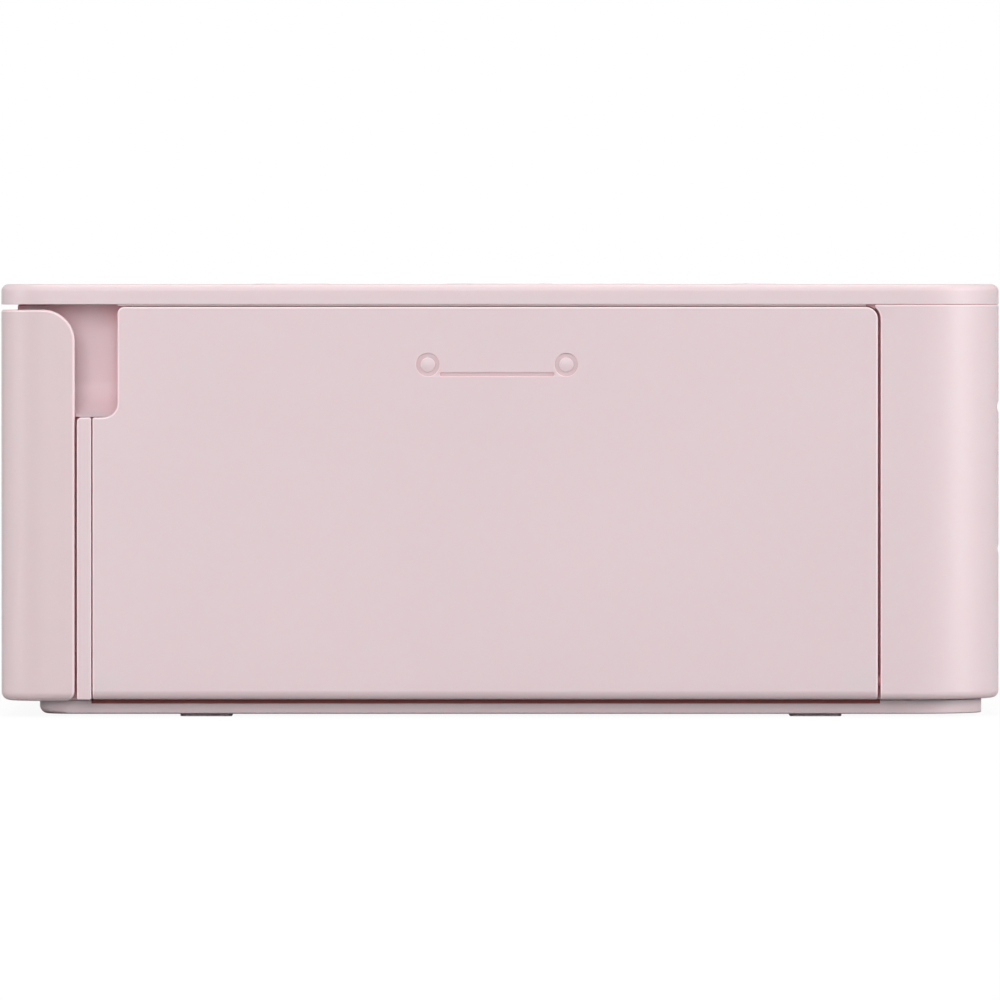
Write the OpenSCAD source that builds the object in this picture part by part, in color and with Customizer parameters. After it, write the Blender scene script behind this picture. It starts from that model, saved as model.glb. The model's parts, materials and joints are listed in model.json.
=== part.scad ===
// Compact dye-sublimation photo printer, drawn as an assembly of separate pieces.
// Millimetres. +Z is up, the front is towards -Y, and the ink door is on the +X side.
// The origin is on the table, under the middle of the body.

/* [Body] */
// Width of the body, side to side
body_w = 182; // [181:0.5:184]
// Depth of the body, front to back
body_d = 133; // [132.5:0.25:134]
// Height from the table to the tops of the keys
body_h = 57.6; // [57.4:0.1:58]
// Plan radius of the two front corners
front_r = 6.4; // [6:0.2:7]
// Plan radius of the two rear corners
rear_r = 13.4; // [12:0.2:14]
// Thickness of the moulded outer walls
wall = 2; // [1.8:0.1:2.1]

/* [Covers] */
// Thickness of the top plate
top_t = 2.8; // [2.5:0.05:3]
// How far the front cover wraps round the sides, from the front
cover_wrap = 9.9; // [9:0.1:10]
// Radius of the cover wing's upper corner
wing_r = 4.2; // [3:0.1:5]
// Height above the table of the finger notch's floor
notch_z = 39.8; // [38:0.2:42]
// Length of the finger notch along the door
notch_l = 3.4; // [3:0.1:4]
// Depth of the finger scoop behind the side face
scoop_d = 5; // [4:0.2:5]

/* [Display and keys] */
// Width and depth of the display window
lcd_size = [80, 60]; // [60:1:84]
// Radius of the round direction pad
pad_r = 13.5; // [12:0.1:14]
// How far a key stands above the top plate
key_proud = 0.1; // [0.05:0.05:0.2]

/* [Print drive] */
// Radius of the platen roller
platen_r = 7; // [6.8:0.1:7]
// Angle that the print head lifts through, in degrees
head_lift = 10.5; // [9:0.5:10.5]

/* [Hidden] */
$fn = 48;
eps = 0.05;
half_w = body_w / 2;
front_y = -body_d / 2;
rear_y = body_d / 2;
key_z = body_h;
plate_z1 = body_h - key_proud;
plate_z0 = body_h - top_t;
shell_z0 = 2.3;
shell_z1 = plate_z0 - 0.01;
cover_z0 = 2.1;

// Panel joints along the right-hand side, from front to back
wing_y = front_y + cover_wrap;
strip_y0 = wing_y + 0.3;
door_y0 = wing_y + 2.3;
notch_y1 = door_y0 + notch_l;
door_y1 = rear_y - 16.42;
door_gap = 0.3;
jamb_y = door_y1 + door_gap;
door_z0 = 2.32;
door_z1 = plate_z0 - 0.3;
door_top_r = 1.65;
cover_z1 = plate_z0 - 0.7;
strip_y1 = door_y0 - 0.15;
scoop_x = half_w - scoop_d;
door_in_x = half_w - wall;

// Base and feet
base_z0 = 0.35;
base_z1 = 2.2;
base_in = 3;
foot_size = [6.9, 6.9];
foot_y = [-39.2, 41.9];
foot_x = 83.2;

// Places of the case screws, in plan
screw_at = [[-79.5, -54], [79.5, -54], [-78, 54], [78, 54]];
boss_r = 3;
screw_r = 1.3;

// Hinge axes of the two covers: the front one in Y-Z, the side one in X-Z
cover_axis = [front_y + 3.4, 3.7];
cover_lug_x = 81.7;
cover_lug_w = 3;
cover_lug_r = 1.35;
door_axis = [half_w - 1.8, 4.8];
door_lug_w = 4;
pin_r = 0.7;
door_pin_r = 0.8;
run_gap = 0.05;

// Sockets: the first two in Y-Z on the left side, the last in X-Z on the back
card_c = [-34.2, 39.3];
card_w = 25.4;
usb_c = [-15.5, 38.8];
jack_c = [-64.6, 10.5];

// Grooves across the back: height, radius and depth of each
rear_groove = [[41.15, 1.2, 0.26], [22.2, 1.05, 0.18]];

// Paper and ribbon path, as points in the Y-Z plane
platen_c = [20.5, 17.4];
capstan_c = [34, 16];
capstan_r = 3.5;
pinch_r = 2.6;
pinch_c = [capstan_c[0], capstan_c[1] + capstan_r + pinch_r + 0.3];
takeup_c = [-2, 35];
supply_c = [42, 35];
pickup_c = [-26, 38];
pickup_r = 8;
head_c = [58, 47];
housing_r = 9;
takeup_roll_r = 6;
supply_roll_r = 7.2;
guide_r = 1;
guide_z = 26;
guide_y = [9.5, 30.5];
film_t = 0.12;
paper_w = 100;
media_x = 52;

// Chassis and drive planes along X
side_x = 60;
sheet_t = 1.2;
gear_t = 3;
inner_x = -64.6;
outer_x = -68.4;
bracket_x = -70.2;
bracket_t = 1;
gear_pin_r = 1.5;
shaft_r = 3;
journal_r = 2.5;

// Gear module, tooth counts and gear centres
gear_m = 0.8;
z_pinion = 12;
z_reduction = 36;
z_small = 12;
z_platen = 24;
z_idler = 18;
z_capstan = 12;
z_pickup_big = 30;
z_pickup = 28;
z_takeup = 24;
z_sector = 30;
pressure = 25;
backlash = 0.14;
addendum = 0.8;
dedendum = 1.05;

function pitch_r(z) = gear_m * z / 2;
function polar(c, r, a) = c + r * [cos(a), sin(a)];
function angle_to(a, b) = atan2(b[1] - a[1], b[0] - a[0]);
// The point at ra from a and rb from b, on the left of the way from a to b
function third_point(a, ra, b, rb) =
    let (d = norm(b - a), s = (ra * ra - rb * rb + d * d) / (2 * d),
         h = sqrt(ra * ra - s * s), u = (b - a) / d)
    a + s * u + h * [-u[1], u[0]];
// The angle that puts gear b's gap on gear a's tooth
function mesh_angle(za, phase_a, dir, zb) = dir + 180 - 180 / zb + (dir - phase_a) * za / zb;

idler_c = third_point(platen_c, pitch_r(z_platen + z_idler), capstan_c, pitch_r(z_idler + z_capstan));
reduction_c = polar(platen_c, pitch_r(z_platen + z_small), 172);
motor_c = polar(reduction_c, pitch_r(z_reduction + z_pinion), 184);
pickup_idler_c = third_point(motor_c, pitch_r(z_pinion + z_pickup_big),
    pickup_c, pitch_r(z_small + z_pickup));
ribbon_motor_c = polar(takeup_c, pitch_r(z_takeup + z_pinion), 50);
lift_c = polar(head_c, pitch_r(z_sector + z_pinion), 225);

platen_phase = 0;
idler_phase = mesh_angle(z_platen, platen_phase, angle_to(platen_c, idler_c), z_idler);
capstan_phase = mesh_angle(z_idler, idler_phase, angle_to(idler_c, capstan_c), z_capstan);
small_phase = mesh_angle(z_platen, platen_phase, angle_to(platen_c, reduction_c), z_small);
motor_phase = mesh_angle(z_reduction, small_phase, angle_to(reduction_c, motor_c), z_pinion);
pickup_big_phase = mesh_angle(z_pinion, motor_phase, angle_to(motor_c, pickup_idler_c), z_pickup_big);
pickup_phase = mesh_angle(z_small, pickup_big_phase, angle_to(pickup_idler_c, pickup_c), z_pickup);
ribbon_phase = mesh_angle(z_takeup, 0, angle_to(takeup_c, ribbon_motor_c), z_pinion);
lift_phase = mesh_angle(z_sector, 0, angle_to(head_c, lift_c), z_pinion);

// Keys on the top plate
pad_c = [60, 6];
ok_r = 5.6;
key_gap = 0.3;
key_drop = 4.2;
lcd_c = [-14, 0];
power_c = [-74, 46];
power_r = 4.5;
pill_size = [13, 6];
home_c = [46, 34];
back_c = [74, 34];
print_c = [60, -28];
print_size = [30, 10];
board_z = 50.7;
board_t = 1.2;
board_posts = [[39.5, -35], [81.5, -35], [39.5, 41.3], [81.5, 41.3], [-82, 43], [-67.6, 42]];
main_board_posts = [[-55, 10], [-22, 10], [-55, 29], [-22, 29]];
peg_y = [13, 27];
peg_z = 28.5;
peg_r = 1.2;

pink = [0.87, 0.79, 0.82];
deep_pink = [0.80, 0.70, 0.73];
dark = [0.22, 0.21, 0.22];
steel = [0.72, 0.73, 0.75];
gear_white = [0.92, 0.91, 0.88];

// ---- Shared shapes ----

// Extrudes a Y-Z outline along X
module along_x(x0, len) {
    translate([x0, 0, 0]) rotate([90, 0, 90]) linear_extrude(len) children();
}

// A round bar along X, centred on a Y-Z point
module rod_x(x0, x1, c, r) {
    translate([x0, c[0], c[1]]) rotate([0, 90, 0]) cylinder(r = r, h = x1 - x0);
}

// A round bar along Y, centred on an X-Z point
module rod_y(y0, y1, c, r) {
    translate([c[0], y1, c[1]]) rotate([90, 0, 0]) cylinder(r = r, h = y1 - y0);
}

module box(lo, hi) {
    translate(lo) cube(hi - lo);
}

// Plan outline of the body: small radii in front, large ones behind
module plan(inset) {
    rf = front_r - inset;
    rr = rear_r - inset;
    w = half_w - inset;
    y0 = front_y + inset;
    y1 = rear_y - inset;
    translate([-w, y0 + rf]) square([2 * w, y1 - y0 - rf - rr]);
    translate([rf - w, y0]) square([2 * (w - rf), 2 * rf]);
    translate([rr - w, y1 - 2 * rr]) square([2 * (w - rr), 2 * rr]);
    for (s = [-1, 1]) {
        translate([s * (w - rf), y0 + rf]) circle(rf);
        translate([s * (w - rr), y1 - rr]) circle(rr);
    }
}

// One corner post of a rounded block, with its bottom and top edges rounded
module post(r, z0, z1, bottom_r, top_r) {
    rotate_extrude($fn = 48) polygon(concat(
        [[0, z0]],
        [for (a = [-90:30:0]) [r - bottom_r + bottom_r * cos(a), z0 + bottom_r + bottom_r * sin(a)]],
        [for (a = [0:30:90]) [r - top_r + top_r * cos(a), z1 - top_r + top_r * sin(a)]],
        [[0, z1]]));
}

// A block on the body's plan, set in at the sides, front and back, with rounded edges
module body_block(z0, z1, bottom_r, top_r, in_x = 0, in_front = 0, in_rear = 0) {
    rf = front_r - max(in_x, in_front) / 2;
    rr = rear_r - max(in_x, in_rear);
    hull() for (s = [-1, 1]) {
        translate([s * (half_w - in_x - rf), front_y + in_front + rf, 0]) post(rf, z0, z1, bottom_r, top_r);
        translate([s * (half_w - in_x - rr), rear_y - in_rear - rr, 0]) post(rr, z0, z1, bottom_r, top_r);
    }
}

// A flat outline with rounded ends, centred on the origin
module pill(size) {
    r = size[1] / 2;
    square([size[0] - 2 * r, size[1]], center = true);
    for (s = [-1, 1]) translate([s * (size[0] / 2 - r), 0]) circle(r);
}

// A square outline with rounded corners, centred on the origin
module round_square(size, r) {
    square([size[0] - 2 * r, size[1]], center = true);
    square([size[0], size[1] - 2 * r], center = true);
    for (x = [-1, 1], y = [-1, 1]) translate([x * (size[0] / 2 - r), y * (size[1] / 2 - r)]) circle(r);
}

// Involute gear outline with its first tooth at angle phase
function involute(a) = tan(a) * 180 / PI - a;
function flank(z, r) =
    90 / z - backlash / 4 / pitch_r(z) * 180 / PI + involute(pressure)
    - involute(acos(min(1, pitch_r(z) * cos(pressure) / r)));
function tooth(z, phase, k) =
    let (base = pitch_r(z) * cos(pressure), root = pitch_r(z) - dedendum * gear_m,
         tip = pitch_r(z) + addendum * gear_m, low = max(base, root + 0.05),
         radii = [low, (2 * low + tip) / 3, (low + 2 * tip) / 3, tip],
         mid = phase + k * 360 / z, lift = flank(z, low))
    concat([root * [cos(mid - lift), sin(mid - lift)]],
        [for (i = [0:3]) radii[i] * [cos(mid - flank(z, radii[i])), sin(mid - flank(z, radii[i]))]],
        [for (i = [3:-1:0]) radii[i] * [cos(mid + flank(z, radii[i])), sin(mid + flank(z, radii[i]))]],
        [root * [cos(mid + lift), sin(mid + lift)]]);

module gear_outline(z, phase) {
    polygon([for (k = [0:z - 1]) each tooth(z, phase, k)]);
}

// A spur gear on an X axis through c, with a bore
module gear(x0, c, z, phase, bore, thick = gear_t) {
    difference() {
        along_x(x0, thick) translate(c) gear_outline(z, phase);
        rod_x(x0 - 1, x0 + thick + 1, c, bore);
    }
}

// ---- Casing, covers and bay walls ----

// Straight grooves across the back, which run out where the corners fall away
module rear_grooves() {
    for (g = rear_groove) rod_x(-half_w, half_w, [rear_y + g[1] - g[2], g[0]], g[1]);
}

// A screw boss standing on the base, from z0 to z1
module screw_boss(at, z0, z1) {
    translate([at[0], at[1], z0]) cylinder(r = boss_r, h = z1 - z0);
}

// Side view of the opening for the ink door, from the front up to the casing's jamb
module door_opening() {
    c = [door_y1 - door_top_r, door_z1 - door_top_r];
    translate([front_y - 1, 0]) square([jamb_y - front_y + 1, c[1]]);
    translate([front_y - 1, 0]) square([c[0] + 1.25 - front_y + 1, body_h]);
    translate(c) circle(door_top_r + door_gap);
}

module casing() {
    rear_x = half_w - rear_r - 5;
    boss_z = 9;
    ledge_z = [34, 35.6];
    color(pink) difference() {
        union() {
            difference() {
                body_block(shell_z0, shell_z1, 1, 0.25);
                translate([0, 0, -1]) linear_extrude(body_h + 2) plan(wall);
                box([-half_w - 1, front_y - 1, 0], [half_w + 1, strip_y0, body_h]);
                along_x(half_w - 6, 7) door_opening();
                box([-rear_x, rear_y - 6, 4.5], [rear_x, rear_y + 1, 53]);
                // Card slot, data socket and air vents in the left side
                translate([-half_w - 1, card_c[0], card_c[1]]) rotate([90, 0, 90])
                    linear_extrude(4) square([card_w, 2.8], center = true);
                translate([-half_w - 1, usb_c[0], usb_c[1]]) rotate([90, 0, 90])
                    linear_extrude(4) pill([9.4, 3.6]);
                for (i = [0:11])
                    box([-half_w - 1, 18 + 2.6 * i, 30], [3 - half_w, 19.2 + 2.6 * i, 46]);
            }
            // Rear screw bosses and their webs to the side walls
            for (s = [-1, 1]) {
                screw_boss([s * screw_at[3][0], screw_at[3][1]], base_z1, boss_z);
                along_x(s > 0 ? screw_at[3][0] : -door_in_x - 0.2, door_in_x + 0.2 - screw_at[3][0])
                    translate([screw_at[3][1] - 0.7, shell_z0]) square([1.4, boss_z - shell_z0]);
            }
            // Ledges that carry the socket board
            for (y = [-48.4, -11])
                box([-door_in_x - 0.2, y, ledge_z[0]], [3.5 - door_in_x, y + 2, ledge_z[1]]);
            // Boss for the ink door's rear hinge pin
            box([door_axis[0] - 2.2, jamb_y, door_axis[1] - 1.7],
                [door_in_x + 0.2, jamb_y + 4, door_axis[1] + 1.7]);
        }
        rear_grooves();
        rod_y(jamb_y - 1, jamb_y + 3.5, door_axis, door_pin_r + run_gap);
        for (s = [-1, 1]) translate([s * screw_at[3][0], screw_at[3][1], 0])
            cylinder(r = screw_r + run_gap, h = 7.5);
    }
}

module top_plate() {
    color(pink) difference() {
        union() {
            body_block(plate_z0, plate_z1, 0.15, 0.95);
            // Posts that carry the key boards
            for (c = board_posts) translate([c[0], c[1], board_z + board_t])
                cylinder(r = 1.8, h = plate_z0 - board_z - board_t + 0.5);
        }
        translate([lcd_c[0], lcd_c[1], plate_z1 - 1.2])
            linear_extrude(3) round_square(lcd_size + [0.4, 0.4], 2.5);
        translate([lcd_c[0], lcd_c[1], plate_z0 - 1])
            linear_extrude(5) round_square(lcd_size - [5, 5], 1.5);
        translate([pad_c[0], pad_c[1], plate_z0 - 1]) cylinder(r = pad_r + key_gap, h = 5);
        translate([power_c[0], power_c[1], plate_z0 - 1]) cylinder(r = power_r + key_gap, h = 5);
        for (k = [[home_c, pill_size], [back_c, pill_size], [print_c, print_size]])
            translate([k[0][0], k[0][1], plate_z0 - 1])
                linear_extrude(5) pill(k[1] + 2 * [key_gap, key_gap]);
    }
}

module base_plate() {
    color(pink) difference() {
        body_block(base_z0, base_z1, 0.3, 0.1, in_x = base_in, in_front = 5.1, in_rear = 2.3);
        box([half_w - 5, door_y0 - 0.2, 1.72], [half_w, jamb_y, 5]);
        for (c = screw_at) translate([c[0], c[1], -1]) {
            cylinder(r = 3.2, h = 2.2);
            cylinder(r = screw_r + 0.1, h = 5);
        }
    }
}

module feet() {
    color(dark) for (s = [-1, 1], y = foot_y) intersection() {
        box([s * foot_x - foot_size[0] / 2, y - foot_size[1] / 2, 0],
            [s * foot_x + foot_size[0] / 2, y + foot_size[1] / 2, base_z0]);
        translate([s * foot_x, y, 0]) rotate([0, 0, 45])
            cylinder(r1 = foot_size[0] * 0.66, r2 = foot_size[0] * 0.74, h = base_z0, $fn = 4);
    }
}

// Inner front frame: the bezel behind the front cover, the finger scoop and the side strip
module front_frame() {
    x1 = scoop_x;
    y0 = front_y + 2.1;
    y1 = notch_y1 + 1.9;
    z0 = cover_axis[1];
    t = 1.6;
    r = 4;
    slot_w = cover_lug_w + 0.6;
    color(pink) difference() {
        union() {
            difference() {
                translate([0, 0, z0]) linear_extrude(shell_z1 - z0) {
                    translate([-x1, y0 + r]) square([2 * x1, y1 - y0 - r]);
                    translate([r - x1, y0]) square([2 * (x1 - r), r + 1]);
                    for (s = [-1, 1]) translate([s * (x1 - r), y0 + r]) circle(r);
                }
                box([t - x1, y0 + t, 0], [x1 - t, y1 + 1, body_h]);
            }
            // Side strip and scoop floor
            difference() {
                union() {
                    box([x1 - t, strip_y0, shell_z0], [half_w, y1, notch_z + scoop_d]);
                    box([x1 - t, -60, z0], [door_in_x - 0.2, strip_y0 + 1, notch_z + scoop_d]);
                }
                rod_y(-61, y1 + 1, [half_w, notch_z + scoop_d], scoop_d);
                box([door_in_x - 0.2, strip_y1, 0], [half_w + 1, y1 + 1, body_h]);
            }
            box([x1 - 1, y1 - 1, z0], [door_in_x - 0.3, y1, shell_z1 - 0.1]);
            // Hinge ears on each side of the cover's lugs, and the front screw bosses
            for (s = [-1, 1]) {
                for (x = [s * cover_lug_x - slot_w / 2 - 1.3, s * cover_lug_x + slot_w / 2 - 0.1])
                    rod_x(x, x + 1.4, cover_axis, cover_lug_r - 0.05);
                screw_boss([s * screw_at[1][0], screw_at[1][1]], base_z1, 9);
                along_x(s > 0 ? screw_at[1][0] : 1 - x1, x1 - 1 - screw_at[1][0])
                    translate([screw_at[1][1] - 0.7, z0]) square([1.4, 9 - z0]);
            }
        }
        box([-60.2, y0 - 1, 5.2], [60.2, y0 + 3, 31]);
        // Slots for the cover's lugs, hinge bores and screw holes
        for (s = [-1, 1]) {
            box([s * cover_lug_x - slot_w / 2, y0 - 1, 0], [s * cover_lug_x + slot_w / 2, y0 + 4, z0 + 2.4]);
            rod_x(s * cover_lug_x - 3, s * cover_lug_x + 3, cover_axis, pin_r + run_gap);
            translate([s * screw_at[1][0], screw_at[1][1], 0]) cylinder(r = screw_r + run_gap, h = 7.5);
        }
        rod_y(strip_y0 + 0.2, door_y0, door_axis, door_pin_r + run_gap);
        // Room for the ink door's front hinge lug
        box([scoop_x + 0.2, strip_y1, 0], [half_w + 1, y1 + 1, 8.6]);
    }
}

// Tunnel that the paper cassette slides into
module paper_bay() {
    y0 = front_y + 3.8;
    y1 = -19;
    color(deep_pink) difference() {
        union() {
            box([-61.2, y0, 4], [61.2, y1, 32.2]);
            box([-66, y0, 4], [66, y0 + 1.2, 34]);
            // Runners on the base, and posts for the main board
            for (x = [-56, 54]) box([x, y0 + 2, base_z1], [x + 2, y1 - 2, 4.2]);
            for (c = main_board_posts) rod_x(61, 66, c, 2);
        }
        box([-60, y0 - 1, 5.2], [60, y1 + 1, 31]);
        for (s = [-1, 1]) box([s * 20 - 8, pickup_c[0] - 9, 30], [s * 20 + 8, pickup_c[0] + 9, 33]);
    }
}

// Side view of the front cover, and where it is cut from the body
module cover_outline() {
    z0 = cover_z0;
    r = 1.3;
    translate([front_y - 1, z0]) square([cover_wrap + 1 - r, cover_z1 - z0 - wing_r]);
    translate([front_y - 1, z0 + r]) square([cover_wrap + 1, cover_z1 - z0 - r - wing_r]);
    translate([front_y - 1, z0 + r]) square([cover_wrap + 1 - wing_r, cover_z1 - z0 - r]);
    translate([wing_y - r, z0 + r]) circle(r);
    translate([wing_y - wing_r, cover_z1 - wing_r]) circle(wing_r);
}

module front_cover() {
    color(pink) difference() {
        union() {
            intersection() {
                difference() {
                    body_block(cover_z0, cover_z1, 1.3, 0.35);
                    translate([0, 0, -1]) linear_extrude(body_h + 2) plan(wall);
                }
                along_x(-half_w - 1, body_w + 2) cover_outline();
            }
            // Hinge lugs
            for (s = [-1, 1]) along_x(s * cover_lug_x - cover_lug_w / 2, cover_lug_w) {
                translate(cover_axis) circle(cover_lug_r);
                translate([front_y + wall - 0.2, cover_axis[1] - cover_lug_r])
                    square([cover_axis[0] - front_y - wall + 0.2, 2 * cover_lug_r]);
            }
        }
        for (s = [-1, 1]) rod_x(s * cover_lug_x - 3, s * cover_lug_x + 3, cover_axis, pin_r + run_gap);
    }
}

module door_outline() {
    r_in = 1.9;
    r_front = 0.7;
    difference() {
        translate([door_y0, door_z0]) square([door_y1 - door_y0, door_z1 - door_z0]);
        translate([notch_y1 - 1, door_z1 - r_front]) difference() {
            square([1 + r_front, 2]);
            translate([1 + r_front, 0]) circle(r_front);
        }
        translate([door_y1 - door_top_r, door_z1 - door_top_r]) difference() {
            square(2);
            circle(door_top_r);
        }
        translate([door_y0 - 1, notch_z + r_in]) square([notch_l + 1, 20]);
        translate([door_y0 - 1, notch_z]) square([notch_l + 1 - r_in, 20]);
        translate([notch_y1 - r_in, notch_z + r_in]) circle(r_in);
    }
}

module ink_door() {
    edge_r = 0.95;
    lug_r = 1.6;
    color(pink) difference() {
        union() {
            difference() {
                along_x(door_in_x, wall) door_outline();
                // Rounded bottom edge
                difference() {
                    box([half_w - edge_r, door_y0 - 1, door_z0 - 1],
                        [half_w + 1, door_y1 + 1, door_z0 + edge_r]);
                    rod_y(door_y0 - 2, door_y1 + 2, [half_w - edge_r, door_z0 + edge_r], edge_r);
                }
                // Engraved cassette pictogram: two spools and the film between them
                for (s = [-1, 1]) difference() {
                    rod_x(half_w - 0.25, half_w + 1, [-0.5 + s * 9.2, 46.8], 1.55);
                    rod_x(half_w - 1, half_w + 2, [-0.5 + s * 9.2, 46.8], 0.95);
                }
                box([half_w - 0.25, -8.1, 45.25], [half_w + 1, 7.1, 45.75]);
            }
            for (y = [door_y0 + 0.2, door_y1 - door_lug_w - 0.2]) {
                rod_y(y, y + door_lug_w, door_axis, lug_r);
                box([door_axis[0] - lug_r, y, door_axis[1]],
                    [door_in_x + 0.5, y + door_lug_w, door_axis[1] + 3]);
            }
            // Ribs on the inside
            for (z = [14, 50.4]) box([door_in_x - 1.6, -44, z], [door_in_x + 0.2, 46, z + 1.2]);
            for (y = [-44, 44.8]) box([door_in_x - 1.6, y, 10], [door_in_x + 0.2, y + 1.2, 50.8]);
            // Latch hook
            box([door_in_x - 4.4, 21, 51.6], [door_in_x + 0.2, 27, 52.8]);
            box([door_in_x - 4.4, 21, 51.6], [door_in_x - 3.4, 27, 53.4]);
        }
        rod_y(door_y0 - 1, door_y1 + 1, door_axis, door_pin_r + run_gap);
    }
}

module hinge_pins() {
    color(pink) {
        for (s = [-1, 1]) rod_x(s * cover_lug_x - 2.9, s * cover_lug_x + 2.9, cover_axis, pin_r);
        rod_y(strip_y0 + 0.4, door_y0 + door_lug_w, door_axis, door_pin_r);
        rod_y(door_y1 - door_lug_w, jamb_y + 3.3, door_axis, door_pin_r);
    }
}

// Cassette outline in the Y-Z plane, grown by g
module cassette_outline(g) {
    translate([takeup_c[0], takeup_c[1]]) circle(housing_r + g);
    translate([supply_c[0], supply_c[1]]) circle(housing_r + g);
    translate([takeup_c[0], takeup_c[1] - housing_r - g])
        square([supply_c[0] - takeup_c[0], 2 * (housing_r + g)]);
}

// Wall behind the ink door, with the sleeve that guides the cassette
module ink_bay() {
    x0 = 60.6;
    x1 = scoop_x;
    color(deep_pink) difference() {
        union() {
            box([x1 - 1.4, notch_y1 + 2, base_z1], [x1, 52.2, shell_z1]);
            along_x(x0, x1 - x0 - 1) cassette_outline(1.6);
        }
        along_x(x0 - 1, x1 - x0 + 2) cassette_outline(0.6);
        box([x1 - 4, 20, 50.6], [x1 + 1, 28, 54.2]);
        // Slots for the catch
        box([x1 - 2, -22.8, 33.4], [x1 + 1, -16, 37.6]);
        box([x1 - 6, -16.1, 33.4], [x1 + 1, -8, 37.6]);
    }
}

// Sprung catch that holds the cassette in
module release_lever() {
    color([0.55, 0.75, 0.68]) {
        box([scoop_x - 4.6, -19.8, 33.6], [scoop_x - 3.2, -9.8, 37.4]);
        box([scoop_x - 3.3, -19.8, 33.8], [scoop_x + 0.6, -16.4, 37.2]);
        box([scoop_x + 0.5, -21.8, 32.6], [scoop_x + 1.3, -14.4, 38.4]);
        for (i = [0:2]) box([scoop_x + 1.2, -20.6 + 2 * i, 33], [scoop_x + 1.7, -19.8 + 2 * i, 38]);
    }
}

module rear_panel() {
    y1 = rear_y;
    y0 = y1 - wall;
    w = half_w - rear_r - 5.2;
    color(pink) difference() {
        union() {
            box([-w, y0, 4.6], [w, y1, 52.9]);
            box([-w - 2, y0 - 1.2, 3], [w + 2, y0, 54]);
        }
        rear_grooves();
        // Slot that the paper passes out through while it prints
        box([-53, y0 - 2, 13.6], [53, y1 + 1, 20.6]);
        rod_y(y0 - 2, y1 + 1, jack_c, 3.1);
        for (s = [-1, 1], i = [0:7], z = [26, 43.6])
            box([s * 52 - 13.4 + 3.4 * i, y0 - 2, z], [s * 52 - 11.6 + 3.4 * i, y1 + 1, z == 26 ? 39 : 50]);
    }
}

// ---- Display, keys and sockets ----

module lcd_window() {
    color([0.05, 0.05, 0.06]) translate([lcd_c[0], lcd_c[1], plate_z1 - 1.15])
        linear_extrude(1.1) round_square(lcd_size, 2.3);
}

module lcd_panel() {
    color([0.3, 0.32, 0.35]) {
        translate([lcd_c[0], lcd_c[1], 52.4]) linear_extrude(plate_z0 - 52.4) square([84, 63], center = true);
        translate([lcd_c[0], lcd_c[1], plate_z0 - 0.1]) linear_extrude(1.55) square([72, 52], center = true);
    }
}

// Boards under the keys, with a dome switch under each
module control_board() {
    domes = concat([power_c, home_c, back_c, print_c, pad_c], [for (a = [0:90:270]) polar(pad_c, 9.8, a)]);
    color([0.10, 0.35, 0.22]) {
        box([37, -38, board_z], [84.2, 44, board_z + board_t]);
        box([-84, 40, board_z], [-66, 51, board_z + board_t]);
    }
    color(steel) for (c = domes)
        translate([c[0], c[1], board_z + board_t - eps]) cylinder(r = 1.9, h = 0.5);
}

// A key: its cap through the plate, the flange that holds it in, and the stem on its switch
module key(c, stem = [0, 0]) {
    color(pink) {
        translate([c[0], c[1], key_z - key_drop]) children();
        translate([c[0] + stem[0], c[1] + stem[1], board_z + board_t + 1.1]) cylinder(r = 1.5, h = 1.6);
    }
}

module pill_key(c, size) {
    key(c) {
        linear_extrude(key_drop) pill(size);
        linear_extrude(1.2) pill(size + [2, 2]);
    }
}

module round_key(c, r, flange) {
    key(c) {
        cylinder(r = r, h = key_drop);
        cylinder(r = r + flange, h = 1.2);
    }
}

// One quarter of the direction pad, pointing at angle a
module pad_key(a) {
    inner = ok_r + key_gap + 0.2;
    key(pad_c, stem = 9.8 * [cos(a), sin(a)]) rotate([0, 0, a]) difference() {
        union() {
            cylinder(r = pad_r, h = key_drop);
            cylinder(r = pad_r + 1, h = 1.2);
        }
        translate([0, 0, -1]) cylinder(r = inner, h = key_drop + 2);
        for (s = [-1, 1]) rotate([0, 0, s * 45]) translate([-30, s > 0 ? -key_gap / 2 : -30, -1])
            cube([60, 30 + key_gap / 2, key_drop + 2]);
    }
}

// Board on the left side that carries the card slot and the data socket
module io_board() {
    color([0.10, 0.35, 0.22]) box([0.2 - door_in_x, -48.4, 35.6], [-71.4, -9, 37.2]);
    color(dark) box([-80, -24, 34.6], [-74, -14, 35.7]);
}

module usb_port() {
    x0 = 0.1 - door_in_x;
    color(steel) translate([x0, usb_c[0], usb_c[1]]) rotate([90, 0, 90]) difference() {
        linear_extrude(7) pill([9, 3.2]);
        translate([0, 0, -1]) linear_extrude(7) pill([8.4, 2.6]);
    }
    color(dark) box([x0 + 0.9, usb_c[0] - 3, usb_c[1] - 0.35], [x0 + 6.5, usb_c[0] + 3, usb_c[1] + 0.35]);
}

module card_slot() {
    x0 = 0.1 - door_in_x;
    color(dark) difference() {
        box([x0, card_c[0] - 14, 37.2], [x0 + 17.4, card_c[0] + 14, 41.4]);
        box([x0 - 1, card_c[0] - 12.5, 38], [x0 + 16, card_c[0] + 12.5, 40.6]);
    }
}

module dc_jack() {
    y1 = rear_y - wall - 1.2;
    half = 4.45;
    color(dark) difference() {
        box([jack_c[0] - half, y1 - 12, base_z1], [jack_c[0] + half, y1, 15.6]);
        rod_y(y1 - 9, y1 + 1, jack_c, 2.85);
    }
    color(steel) rod_y(y1 - 9.5, y1 - 0.5, jack_c, 0.9);
}

// ---- Chassis ----

// Side plate outline: the back part stands on the base, the front part bridges the paper bay
module side_outline() {
    polygon([[-37, 33], [-37, 49], [-30, 50], [62, 50], [62, 4], [-16, 4], [-16, 33]]);
}

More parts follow.
